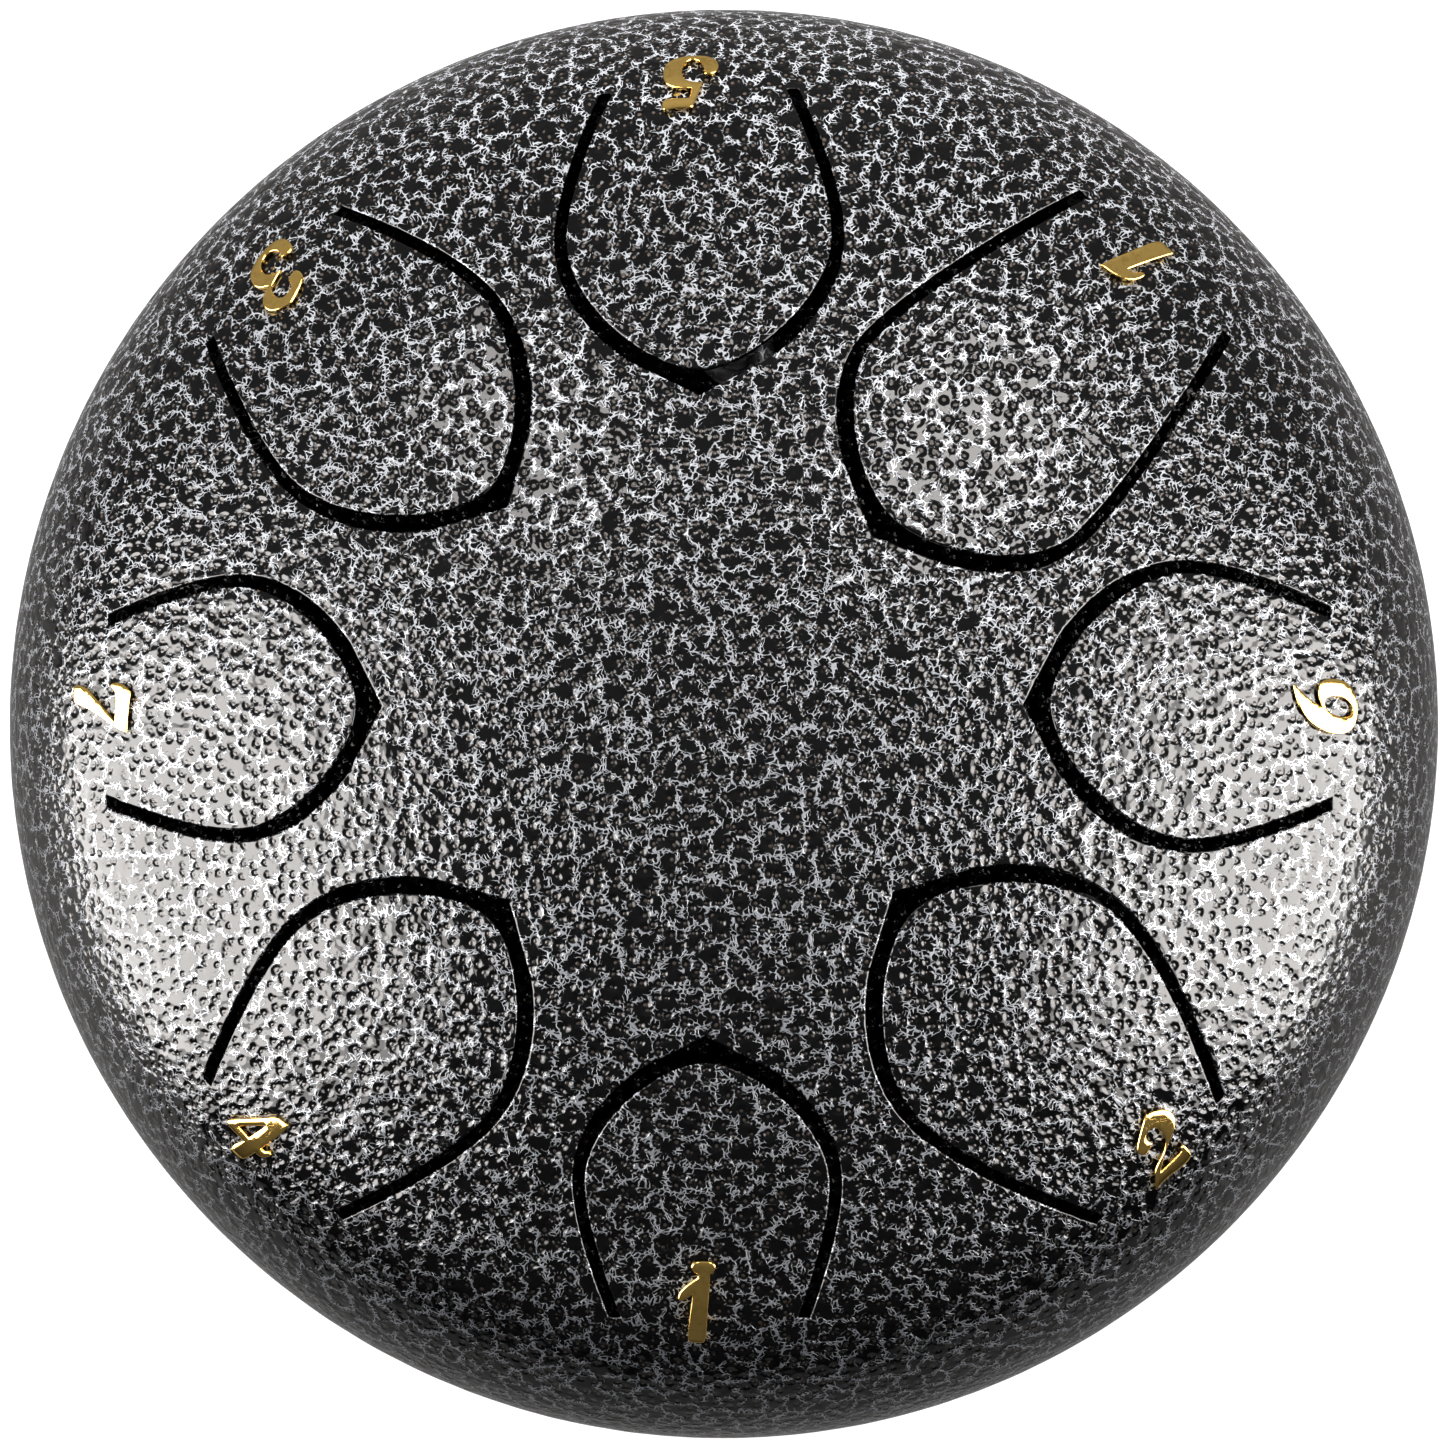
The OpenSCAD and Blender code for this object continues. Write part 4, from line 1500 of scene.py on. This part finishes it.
@dataclass
class Numbers:
    """The eight polished numbers, stuck on at the roots of the tongues and bent to the dome."""

    dome: Dome
    palette: Palette
    height: float = 7.5
    thickness: float = 0.45
    film: float = 0.1
    bevel: float = 0.13
    bevel_steps: int = 3
    pitch: float = 0.45
    sharp_angle: float = 50.0

    def place(self, tongue: Tongue, figure: Figure, flat: np.ndarray, raised: float) -> np.ndarray:
        """Lays points of a number's drawing on the dome.

        Args:
            tongue: The tongue that it marks.
            figure: The number.
            flat: Points of the drawing, with Y towards the drum's axis.
            raised: Their height over the sheet.

        Returns:
            The points in space.
        """
        middle = self.dome.drum_r - tongue.root_in - figure.inside
        azimuth = math.radians(tongue.direction) + math.atan(figure.aside / middle)
        s = self.dome.flat_radius(np.array([middle]), 0.0)[0] - flat[:, 1]
        r, z, slope = self.dome.section(s, 0.0)
        turn = azimuth + flat[:, 0] / r
        r, z = r + raised * np.sin(slope), z + raised * np.cos(slope)
        return np.column_stack([r * np.cos(turn), r * np.sin(turn), self.dome.seam_z + z])

    def cover(self, rings: list[np.ndarray]) -> tuple[np.ndarray, np.ndarray]:
        """Triangulates the flat face of a number.

        Args:
            rings: The outer outline and the counters, all counter-clockwise.

        Returns:
            The points inside the face, and its triangles, which number the rings' points first.
        """
        edge = np.concatenate(rings)
        low, high = edge.min(axis=0), edge.max(axis=0)
        across = np.arange(low[0], high[0], self.pitch)
        along = np.arange(low[1], high[1], self.pitch)
        grid = np.stack(np.meshgrid(across, along), axis=-1).reshape(-1, 2)
        grid = grid[within(grid, rings)]
        gap = np.linalg.norm(grid[:, None] - edge[None], axis=2).min(axis=1)
        grid = grid[gap > 0.5 * self.pitch]
        flat = np.concatenate([edge, grid])
        chain, start = [], 0
        for ring in rings:
            chain += [(start + i, start + (i + 1) % len(ring)) for i in range(len(ring))]
            start += len(ring)
        triangles = triangulated(flat, chain)
        return grid, triangles[within(flat[triangles].mean(axis=1), rings)]

    def plate(self, tongue: Tongue, figure: Figure, levels: list[tuple[float, float]]) -> MeshDraft:
        """Builds a number as a closed plate.

        Args:
            tongue: The tongue that it marks.
            figure: The number.
            levels: How far the outlines are grown and the height, from the bottom up.

        Returns:
            The draft.
        """
        outer = figure.loop(figure.outline, self.height)
        counters = [figure.loop(figure.counter, self.height)] if figure.counter else []
        outlines = [[grown(outer, grow), *(grown(inner, -grow) for inner in counters)] for grow, _ in levels]
        points, faces, rows, total = [], [], [], 0
        for rings, (_, raised) in zip(outlines, levels):
            points += [self.place(tongue, figure, ring, raised) for ring in rings]
            starts = np.cumsum([total, *map(len, rings)])
            rows.append([np.arange(a, b) for a, b in zip(starts[:-1], starts[1:])])
            total = int(starts[-1])
        for lower, upper in zip(rows[:-1], rows[1:]):
            for k, (a, b) in enumerate(zip(lower, upper)):
                strip = quads(a, b, closed=True)
                faces.append(strip if k == 0 else strip[:, ::-1])
        for level in (0, -1):
            grid, triangles = self.cover(outlines[level])
            points.append(self.place(tongue, figure, grid, levels[level][1]))
            numbers = np.concatenate([*rows[level], np.arange(total, total + len(grid))])
            total += len(grid)
            face = numbers[triangles]
            faces.append(face if level else face[:, ::-1])
        return MeshDraft(np.concatenate(points), np.concatenate(faces))

    def build(self) -> list[bpy.types.Object]:
        """Builds all the numbers.

        Returns:
            The pieces.
        """
        top = self.film + self.thickness
        turns = [math.pi / 2 * k / self.bevel_steps for k in range(self.bevel_steps + 1)]
        levels = [(0.0, self.film), (0.0, (self.film + top) / 2)]
        levels += [(-self.bevel * (1 - math.cos(a)), top - self.bevel * (1 - math.sin(a))) for a in turns]
        pieces = []
        for tongue, figure in zip(TONGUES, FIGURES):
            piece = self.plate(tongue, figure, levels).piece(f"gold_{figure.name}")
            piece.data.set_sharp_from_angle(angle=math.radians(self.sharp_angle))
            self.palette.dress(piece, Finish.GOLD)
            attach(piece, DRUM)
            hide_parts(f"number_{figure.name}")
            pieces.append(piece)
        return pieces


@dataclass
class RimWeld:
    """The weld bead between the domes, ground low and painted over, with faint ripples."""

    dome: Dome
    palette: Palette
    depth: float = 1.45
    proud: float = 0.25
    half_height: float = 0.72
    ripples: int = 340
    ripple_depth: float = 0.035
    points_per_ripple: int = 5
    profile_points: int = 16

    def rule(self) -> NodeRule:
        """Builds the tree: a bead swept round the drum, then rippled and given the sheet's flat coordinates.

        Returns:
            The tree with its inputs.
        """
        centre = self.dome.drum_r + (self.proud - self.depth) / 2
        rule = NodeRule("weld_bead", {
            "Radius": centre * MM,
            "Height": self.dome.seam_z * MM,
            "Half Width": (self.proud + self.depth) / 2 * MM,
            "Half Height": self.half_height * MM,
            "Ripples": self.ripples,
            "Ripple Depth": self.ripple_depth * MM,
            "Rim Length": self.dome.flat_rim(0.0),
            "Material": self.palette.made[Finish.PAINT],
        })
        given = rule.given
        half = given["Half Height"]
        count = rule.math("MULTIPLY", given["Ripples"], self.points_per_ripple)
        circle_node = "GeometryNodeCurvePrimitiveCircle"
        path = rule.add(circle_node, {"Resolution": count, "Radius": given["Radius"]}).outputs[0]
        profile = rule.add(circle_node, {"Resolution": self.profile_points, "Radius": half}).outputs[0]
        swept = rule.add("GeometryNodeCurveToMesh", {"Curve": path, "Profile Curve": profile}).outputs[0]
        position = rule.add("GeometryNodeInputPosition").outputs[0]
        spot = rule.add("ShaderNodeSeparateXYZ", {0: position}).outputs
        flat = rule.triple(spot[0], spot[1], 0.0)
        length = rule.add("ShaderNodeVectorMath", {0: flat}, operation="LENGTH").outputs["Value"]
        spoke = rule.add("ShaderNodeVectorMath", {0: flat}, operation="NORMALIZE").outputs[0]
        out = rule.math("DIVIDE", rule.math("SUBTRACT", length, given["Radius"]), half)
        rise = rule.math("DIVIDE", spot[2], half)
        turn = rule.math("DIVIDE", rule.math("ARCTAN2", spot[1], spot[0]), FULL_TURN)
        phase = rule.math("MULTIPLY_ADD", turn, given["Ripples"], rule.math("MULTIPLY", rise, rise))
        wave = rule.math("COSINE", rule.math("MULTIPLY", phase, FULL_TURN))
        wave = rule.math("MULTIPLY", wave, given["Ripple Depth"])
        ripple = rule.math("MULTIPLY", wave, rule.step(out, 0.0, 0.8))
        wide = rule.math("MULTIPLY_ADD", out, given["Half Width"], ripple)
        ring = rule.vector("SCALE", spoke, rule.math("ADD", given["Radius"], wide))
        up = rule.triple(0.0, 0.0, rule.math("ADD", spot[2], given["Height"]))
        place = rule.vector("ADD", ring, up)
        moved = rule.add("GeometryNodeSetPosition", {"Geometry": swept, "Position": place})
        sheet = rule.math("SUBTRACT", given["Rim Length"], rule.math("MULTIPLY", spot[2], 1 / MM))
        skin = rule.vector("SCALE", spoke, sheet)
        named = rule.add("GeometryNodeStoreNamedAttribute", {"Geometry": moved.outputs[0], "Name": "skin"},
                         data_type="FLOAT_VECTOR", domain="POINT")
        rule.feed(next(i for i in named.inputs if i.name == "Value" and i.enabled), skin)
        smooth = rule.add("GeometryNodeSetShadeSmooth", {"Geometry": named.outputs[0]})
        rule.end(smooth.outputs[0])
        return rule

    def build(self) -> bpy.types.Object:
        """Builds the bead.

        Returns:
            The piece.
        """
        piece = linked("weld_bead", bpy.data.meshes.new("weld_bead"))
        self.rule().apply(piece)
        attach(piece, DRUM)
        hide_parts("rim_weld")
        return piece


@dataclass
class Feet:
    """The three tapered rubber feet, each recessed for its screw and level underneath."""

    plan: FootPlan
    palette: Palette
    names: tuple[str, ...] = ("back", "left", "right")
    top_r: float = 9.0
    end_r: float = 7.75
    seat: float = -0.05
    pad: float = -4.05
    recess_r: float = 4.15
    hole_r: float = 2.2
    lip: float = 0.35
    edge: float = 0.8
    sharp_angle: float = 40.0
    turns: int = 120

    @property
    def length(self) -> float:
        """Length of the cone before it is cut level."""
        tilt = self.plan.tilt
        return (self.plan.height + self.top_r * math.sin(tilt)) / math.cos(tilt) + 1

    def section(self, angle: float) -> np.ndarray:
        """Section of a foot at one angle about its axis.

        Args:
            angle: The angle, in radians.

        Returns:
            Distances from the axis and heights, as a loop.
        """
        tilt, lean = self.plan.tilt, math.sin(self.plan.tilt) * math.cos(angle)
        taper = (self.end_r - self.top_r) / self.length
        drop = (self.plan.height + self.top_r * lean) / (math.cos(tilt) - taper * lean)

        def wall(down: float) -> np.ndarray:
            """Point on the side, at a distance under the seat."""
            return np.array([self.top_r + taper * down, -down])

        def ground(across: float) -> np.ndarray:
            """Point on the plane that the drum stands on."""
            return np.array([across, float(self.plan.level(np.array(across), np.array(angle)))])

        def seat(across: float) -> np.ndarray:
            """Point on the seat, which follows the dome."""
            return np.array([across, self.seat + across**2 / (2 * self.plan.crown_r)])

        corner, end = wall(drop), ground(wall(drop)[0] - self.edge)
        top = seat(self.top_r)
        mouth, pad = ground(self.recess_r), np.array([self.recess_r, self.pad])
        rows = [
            [seat(self.hole_r)],
            [np.array([self.hole_r, self.pad])],
            [pad + (-self.lip, 0.0)],
            bow(pad + (-self.lip, 0.0), pad, pad + (0.0, -self.lip), 3),
            [mouth + (0.0, self.lip)],
            bow(mouth + (0.0, self.lip), mouth, ground(self.recess_r + self.lip), 4),
            straight(ground(self.recess_r + self.lip), end, 0.5 * self.edge)[:-1][:4],
            [end],
            bow(end, corner, wall(drop - self.edge), 6),
            [wall(0.66 * (drop - self.edge)), wall(0.33 * (drop - self.edge))],
            [wall(0.5)],
            bow(wall(0.5), top, seat(self.top_r - 0.5), 5),
            [seat(0.5 * (self.top_r + self.hole_r))],
        ]
        return np.concatenate([np.atleast_2d(np.array(row)) for row in rows])

    def build(self) -> list[bpy.types.Object]:
        """Builds the three feet.

        Returns:
            The pieces.
        """
        angles = np.linspace(0, FULL_TURN, self.turns, endpoint=False)
        points, triangles = revolve(np.array([self.section(a) for a in angles]), closed=True)
        pieces = []
        for name, angle in zip(self.names, self.plan.angles):
            placed = in_frame(points, self.plan.frame(angle))
            piece = MeshDraft(placed, triangles).piece(f"rubber_foot_{name}")
            piece.data.set_sharp_from_angle(angle=math.radians(self.sharp_angle))
            self.palette.dress(piece, Finish.RUBBER)
            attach(piece, DRUM)
            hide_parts(f"foot_{name}")
            pieces.append(piece)
        return pieces


@dataclass
class Fasteners:
    """Screws, washers and nuts that hold the feet, one of each shaped and then set at every foot."""

    plan: FootPlan
    palette: Palette
    screw_r: float = 2.0
    pitch: float = 0.7
    thread_depth: float = 0.3
    head_r: float = 3.6
    head_z: float = -4.85
    head_ball_r: float = 4.86
    recess_half: float = 2.16
    recess_wide: float = 0.88
    recess_top: float = -5.93
    screw_end: float = 6.6
    washer_r: float = 3.95
    washer_hole_r: float = 2.2
    washer_t: float = 0.8
    inner_washer_r: float = 4.5
    inner_washer_z: float = 1.6
    nut_flats: float = 7.0
    nut_z: float = 2.4
    nut_h: float = 3.2
    nut_hole_r: float = 2.05
    sharp_angle: float = 32.0
    turns: int = 72
    shank_sides: int = 36

    def ring(self, hole: float, radius: float, low: float) -> MeshDraft:
        """A washer with softened edges.

        Args:
            hole: Radius of its hole.
            radius: Its radius.
            low: Height of its underside.

        Returns:
            The draft, in a foot's frame.
        """
        soft, high = 0.12, low + self.washer_t
        loop = [(hole, low + soft), (hole + soft, low), (radius - soft, low), (radius, low + soft),
                (radius, high - soft), (radius - soft, high), (hole + soft, high), (hole, high - soft)]
        return MeshDraft(*revolve(np.array([loop] * self.turns, float), closed=True))

    def nut(self) -> MeshDraft:
        """A hexagon nut with its corners turned off and a countersunk hole.

        Returns:
            The draft, in a foot's frame.
        """
        half, hole, low = self.nut_flats / 2, self.nut_hole_r, self.nut_z
        face_r, high, soft = 0.96 * half, low + self.nut_h, 0.3
        sections = []
        for angle in np.linspace(0, 360, self.turns, endpoint=False):
            edge = half / math.cos(math.radians(angle % 60 - 30))
            shoulder = (edge - face_r) * math.tan(math.radians(30))
            sections.append([
                (hole, low + soft), (hole + soft, low), (face_r, low), (edge, low + shoulder),
                (edge, high - shoulder), (face_r, high), (hole + soft, high), (hole, high - soft)])
        return MeshDraft(*revolve(np.array(sections), closed=True))

    def screw(self) -> bpy.types.Object:
        """A screw: a domed head with a cross recess, and a threaded shank with a pointed start.

        Returns:
            Its object, in a foot's frame.
        """
        reach = math.sqrt(self.head_ball_r**2 - self.head_r**2)
        ball_z = self.head_z - 0.03 + reach
        lean = np.linspace(0.02, math.asin(self.head_r / self.head_ball_r), 14)
        cap = [(self.head_ball_r * math.sin(a), ball_z - self.head_ball_r * math.cos(a)) for a in lean]
        cap += [(self.head_r, self.head_z - 0.01), (self.head_r - 0.1, self.head_z), (0.5, self.head_z)]
        head = MeshDraft(*revolve(np.array([cap] * self.turns, float), closed=False)).piece("screw_head")
        for turn in (0, 1):
            self.cut_slot(head, turn)
        start, run_out = self.head_z - 0.5, 0.8
        heights = np.arange(start, self.screw_end - 0.01, self.pitch / 8)
        taper = np.clip((heights - (self.screw_end - run_out)) / run_out, 0, 1) * 0.5
        sections = []
        for k in range(self.shank_sides):
            phase = (heights / self.pitch - k / self.shank_sides) % 1.0
            ridge = np.clip(1.25 - np.abs(phase - 0.5) * 2.5, 0, 1)
            radius = self.screw_r - self.thread_depth * (1 - ridge) - taper
            sections.append(np.column_stack([radius, heights]))
        shank = MeshDraft(*revolve(np.array(sections), closed=False)).piece("screw_shank")
        return joined("bright_screws", head, shank)

    def cut_slot(self, head: bpy.types.Object, turn: int) -> None:
        """Cuts one arm of the cross recess out of a screw's head.

        Args:
            head: The head.
            turn: Quarter turns about the screw's axis.
        """
        tool = bpy.data.meshes.new("recess")
        long, wide = self.recess_half, self.recess_wide / 2
        corners = []
        for z, widened in ((self.recess_top, 0.8), (self.recess_top - 2, 1.3)):
            x, y = long * widened, wide * widened
            corners += [(-x, -y, z), (x, -y, z), (x, y, z), (-x, y, z)]
        if turn:
            corners = [(-y, x, z) for x, y, z in corners]
        faces = [(0, 1, 2, 3), (7, 6, 5, 4), (0, 4, 5, 1), (1, 5, 6, 2), (2, 6, 7, 3), (3, 7, 4, 0)]
        tool.from_pydata([Vector(c) * MM for c in corners], [], faces)
        cutter = linked("recess", tool)
        modifier = head.modifiers.new("recess", "BOOLEAN")
        modifier.operation = "DIFFERENCE"
        modifier.solver = "EXACT"
        modifier.object = cutter
        depsgraph = bpy.context.evaluated_depsgraph_get()
        mesh = bpy.data.meshes.new_from_object(head.evaluated_get(depsgraph), depsgraph=depsgraph)
        head.modifiers.remove(modifier)
        head.data = mesh
        bpy.data.objects.remove(cutter)

    def rule(self) -> NodeRule:
        """Builds the tree that sets a copy of the incoming fastener at each foot.

        Returns:
            The tree with its inputs.
        """
        rule = NodeRule("at_each_foot", {
            "Feet": len(self.plan.angles),
            "Foot Radius": self.plan.radius * MM,
            "Foot Height": self.plan.height * MM,
            "First Angle": math.radians(self.plan.angles[0]),
            "Tilt": self.plan.tilt,
            "Material": self.palette.made[Finish.STEEL],
        })
        given = rule.given
        share = rule.math("DIVIDE", rule.add("GeometryNodeInputIndex").outputs[0], given["Feet"])
        angle = rule.math("MULTIPLY_ADD", share, FULL_TURN, given["First Angle"])
        ring = rule.add("GeometryNodeMeshCircle", {"Vertices": given["Feet"], "Radius": given["Foot Radius"]})
        lift = rule.triple(0.0, 0.0, given["Foot Height"])
        turn = rule.triple(0.0, 0.0, given["First Angle"])
        placed = rule.add("GeometryNodeTransform", {
            "Geometry": ring.outputs[0], "Translation": lift, "Rotation": turn})
        lean = rule.triple(0.0, rule.math("MULTIPLY", given["Tilt"], -1.0), angle)
        spin = rule.add("FunctionNodeEulerToRotation", {0: lean}).outputs[0]
        copies = rule.add("GeometryNodeInstanceOnPoints", {
            "Points": placed.outputs[0], "Instance": given["Geometry"], "Rotation": spin})
        rule.end(copies.outputs[0])
        return rule

    def build(self) -> list[bpy.types.Object]:
        """Builds all the fasteners, one piece of each kind.

        Returns:
            The pieces.
        """
        rule = self.rule()
        under_head = self.ring(self.washer_hole_r, self.washer_r, self.head_z)
        under_nut = self.ring(self.washer_hole_r, self.inner_washer_r, self.inner_washer_z)
        kinds = {
            "foot_screws": self.screw(),
            "foot_washers": under_head.piece("bright_washers"),
            "nut_washers": under_nut.piece("bright_inner_washers"),
            "foot_nuts": self.nut().piece("bright_nuts"),
        }
        for node, piece in kinds.items():
            piece.data.set_sharp_from_angle(angle=math.radians(self.sharp_angle))
            rule.apply(piece)
            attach(piece, DRUM)
            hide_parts(node)
        return list(kinds.values())


# ---------------------------------------------------------------- the studio


@dataclass(frozen=True)
class SoftLight:
    """A soft light seen from the drum: where it stands, how wide it looks and how bright it is.

    It shows in gloss or it lights matt surfaces, but not both, so that each is set by itself.
    """

    name: str
    azimuth: float
    from_zenith: float
    half_wide: float
    half_high: float
    brightness: float
    reflected: bool = True
    distance: float = 1.3
    colour: tuple[float, float, float] = (1.0, 0.965, 0.94)

    def build(self, target: Vector) -> bpy.types.Object:
        """Makes the light.

        Args:
            target: The point that it faces.

        Returns:
            The light's object.
        """
        lamp = bpy.data.lights.new(self.name, "AREA")
        lamp.shape = "RECTANGLE"
        lamp.color = self.colour
        lamp.size = 2 * self.distance * math.tan(math.radians(self.half_wide))
        lamp.size_y = 2 * self.distance * math.tan(math.radians(self.half_high))
        lamp.energy = self.brightness * math.pi * lamp.size * lamp.size_y
        a, z = math.radians(self.azimuth), math.radians(self.from_zenith)
        way = Vector((math.cos(a) * math.sin(z), math.sin(a) * math.sin(z), math.cos(z)))
        light = linked(self.name, lamp)
        light.location = target + way * self.distance
        light.rotation_euler = (-way).to_track_quat("-Z", "Y").to_euler()
        light.visible_glossy = self.reflected
        light.visible_diffuse = not self.reflected
        return light


@dataclass(frozen=True)
class Studio:
    """Camera, lights, surroundings and the pale table that the drum stands on.

    The ceiling is given from the front to the back, each time as a place from 0 to 1 and a brightness.
    """

    seam_z: float
    camera_height: float = 500.0
    camera_aside: float = 24.45
    lens: float = 113.6
    table_half: float = 4.0
    ceiling: tuple[tuple[float, float], ...] = (
        (0.1, 0.12), (0.22, 0.17), (0.38, 0.28), (0.5, 0.38), (0.65, 0.42), (0.85, 0.38), (0.97, 0.55))
    lights: tuple[SoftLight, ...] = (
        SoftLight("softbox_right", -12.0, 60.0, 15.0, 26.0, 13.0),
        SoftLight("softbox_left", 192.0, 60.0, 15.0, 26.0, 13.0),
        SoftLight("softbox_edge_right", -13.0, 60.0, 20.0, 32.0, 9.0),
        SoftLight("softbox_edge_left", 193.0, 60.0, 20.0, 32.0, 9.0),
        SoftLight("panel_back_right", 54.0, 30.0, 6.0, 9.0, 17.0),
        SoftLight("panel_back_left", 126.0, 30.0, 5.0, 8.0, 13.0),
        SoftLight("fill_back", 90.0, 67.0, 20.0, 14.0, 24.0, reflected=False),
    )

    def build(self) -> None:
        """Builds all of it."""
        middle = Vector((0.0, 0.0, self.seam_z * MM))
        self.place_camera(middle)
        for light in self.lights:
            light.build(middle)
        self.surroundings()
        self.table()
        bpy.context.scene.view_settings.view_transform = "Standard"

    def place_camera(self, middle: Vector) -> None:
        """Places the camera above the drum, a little to the front right.

        Args:
            middle: The point that it faces.
        """
        data = bpy.data.cameras.new("camera")
        data.sensor_width = 36.0
        data.lens = self.lens
        data.clip_start, data.clip_end = 0.01, 20.0
        camera = linked("camera", data)
        offset = Vector((self.camera_aside, -self.camera_aside, self.camera_height)) * MM
        camera.location = middle + offset
        right = (-offset).cross(Vector((0.0, 1.0, 0.0))).normalized()
        up = right.cross(-offset).normalized()
        camera.rotation_euler = Matrix((right, up, offset.normalized())).transposed().to_euler()
        bpy.context.scene.camera = camera

    def surroundings(self) -> None:
        """Makes the room: a ceiling that is dark in front and lighter behind, and dim walls."""
        world = bpy.data.worlds.new("studio_room")
        world.use_nodes = True
        graph = Graph(world.node_tree)
        way = graph.add("ShaderNodeTexCoord").outputs["Generated"]
        _, back, height = graph.add("ShaderNodeSeparateXYZ", {0: way}).outputs
        walls = graph.blend(graph.step(back, -0.6, 0.7), (0.04, 0.04, 0.042, 1.0), (0.4, 0.4, 0.41, 1.0))
        ceiling = graph.add("ShaderNodeValToRGB", {0: graph.math("MULTIPLY_ADD", back, 0.5, 0.5)})
        while len(ceiling.color_ramp.elements) < len(self.ceiling):
            ceiling.color_ramp.elements.new(1.0)
        for stop, (place, level) in zip(ceiling.color_ramp.elements, self.ceiling):
            stop.position = place
            stop.color = (level, level, 1.03 * level, 1.0)
        room = graph.blend(graph.step(height, 0.05, 0.4, 1.0, 0.0), ceiling.outputs[0], walls)
        seen = graph.add("ShaderNodeLightPath").outputs["Is Camera Ray"]
        colour = graph.blend(seen, room, (1.0, 1.0, 1.0, 1.0))
        light = graph.add("ShaderNodeBackground", {"Color": colour, "Strength": 1.0})
        output = graph.add("ShaderNodeOutputWorld")
        graph.feed(output.inputs["Surface"], light.outputs[0])
        bpy.context.scene.world = world

    def table(self) -> None:
        """Makes the pale table, which glows softly and is clear from below."""
        mesh = bpy.data.meshes.new("table")
        half = self.table_half
        corners = [(-half, -half, 0), (half, -half, 0), (half, half, 0), (-half, half, 0)]
        mesh.from_pydata(corners, [], [(0, 1, 2, 3)])
        table = linked("table", mesh)
        material, graph, shader = new_material("pale_table")
        place = graph.add("ShaderNodeTexCoord").outputs["Object"]
        speck = graph.noise(place, 40.0, 3.0).outputs["Fac"]
        seen = graph.add("ShaderNodeLightPath").outputs["Is Camera Ray"]
        pale = graph.blend(speck, (0.25, 0.25, 0.25, 1.0), (0.27, 0.27, 0.27, 1.0))
        graph.feed(shader.inputs["Base Color"], graph.blend(seen, (0.05, 0.05, 0.05, 1.0), pale))
        shader.inputs["Roughness"].default_value = 0.7
        shader.inputs["Emission Color"].default_value = (1.0, 1.0, 1.0, 1.0)
        graph.feed(shader.inputs["Emission Strength"], graph.math("MULTIPLY_ADD", seen, 0.8, 0.1))
        under = graph.add("ShaderNodeNewGeometry").outputs["Backfacing"]
        clear = graph.add("ShaderNodeBsdfTransparent").outputs[0]
        top_only = graph.add("ShaderNodeMixShader", {0: under, 1: shader.outputs[0], 2: clear}).outputs[0]
        output = next(node for node in material.node_tree.nodes if node.type == "OUTPUT_MATERIAL")
        graph.feed(output.inputs["Surface"], top_only)
        mesh.materials.append(material)


def main() -> None:
    """Builds the drum piece by piece and reports each one."""
    logging.basicConfig(level=logging.INFO, format="%(name)s: %(message)s")
    weld_low, weld_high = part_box("rim_weld")
    seam_z = (weld_low.z + weld_high.z) / 2 / MM
    drum_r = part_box("top_shell")[1].x / MM
    palette = Palette()
    plan = FootPlan()
    upper = Dome(drum_r, seam_z, 1)
    lower = Dome(drum_r, seam_z, -1)
    pieces = [
        *UpperDome(upper, palette).build(),
        LowerDome(lower, palette, plan).build(),
        RimWeld(upper, palette).build(),
        *Numbers(upper, palette).build(),
        *Feet(plan, palette).build(),
        *Fasteners(plan, palette).build(),
    ]
    for piece in pieces:
        log.info("%s: %d triangles", piece.name, sum(len(p.vertices) - 2 for p in piece.data.polygons))
    Studio(seam_z).build()


if __name__ == "__main__":
    main()
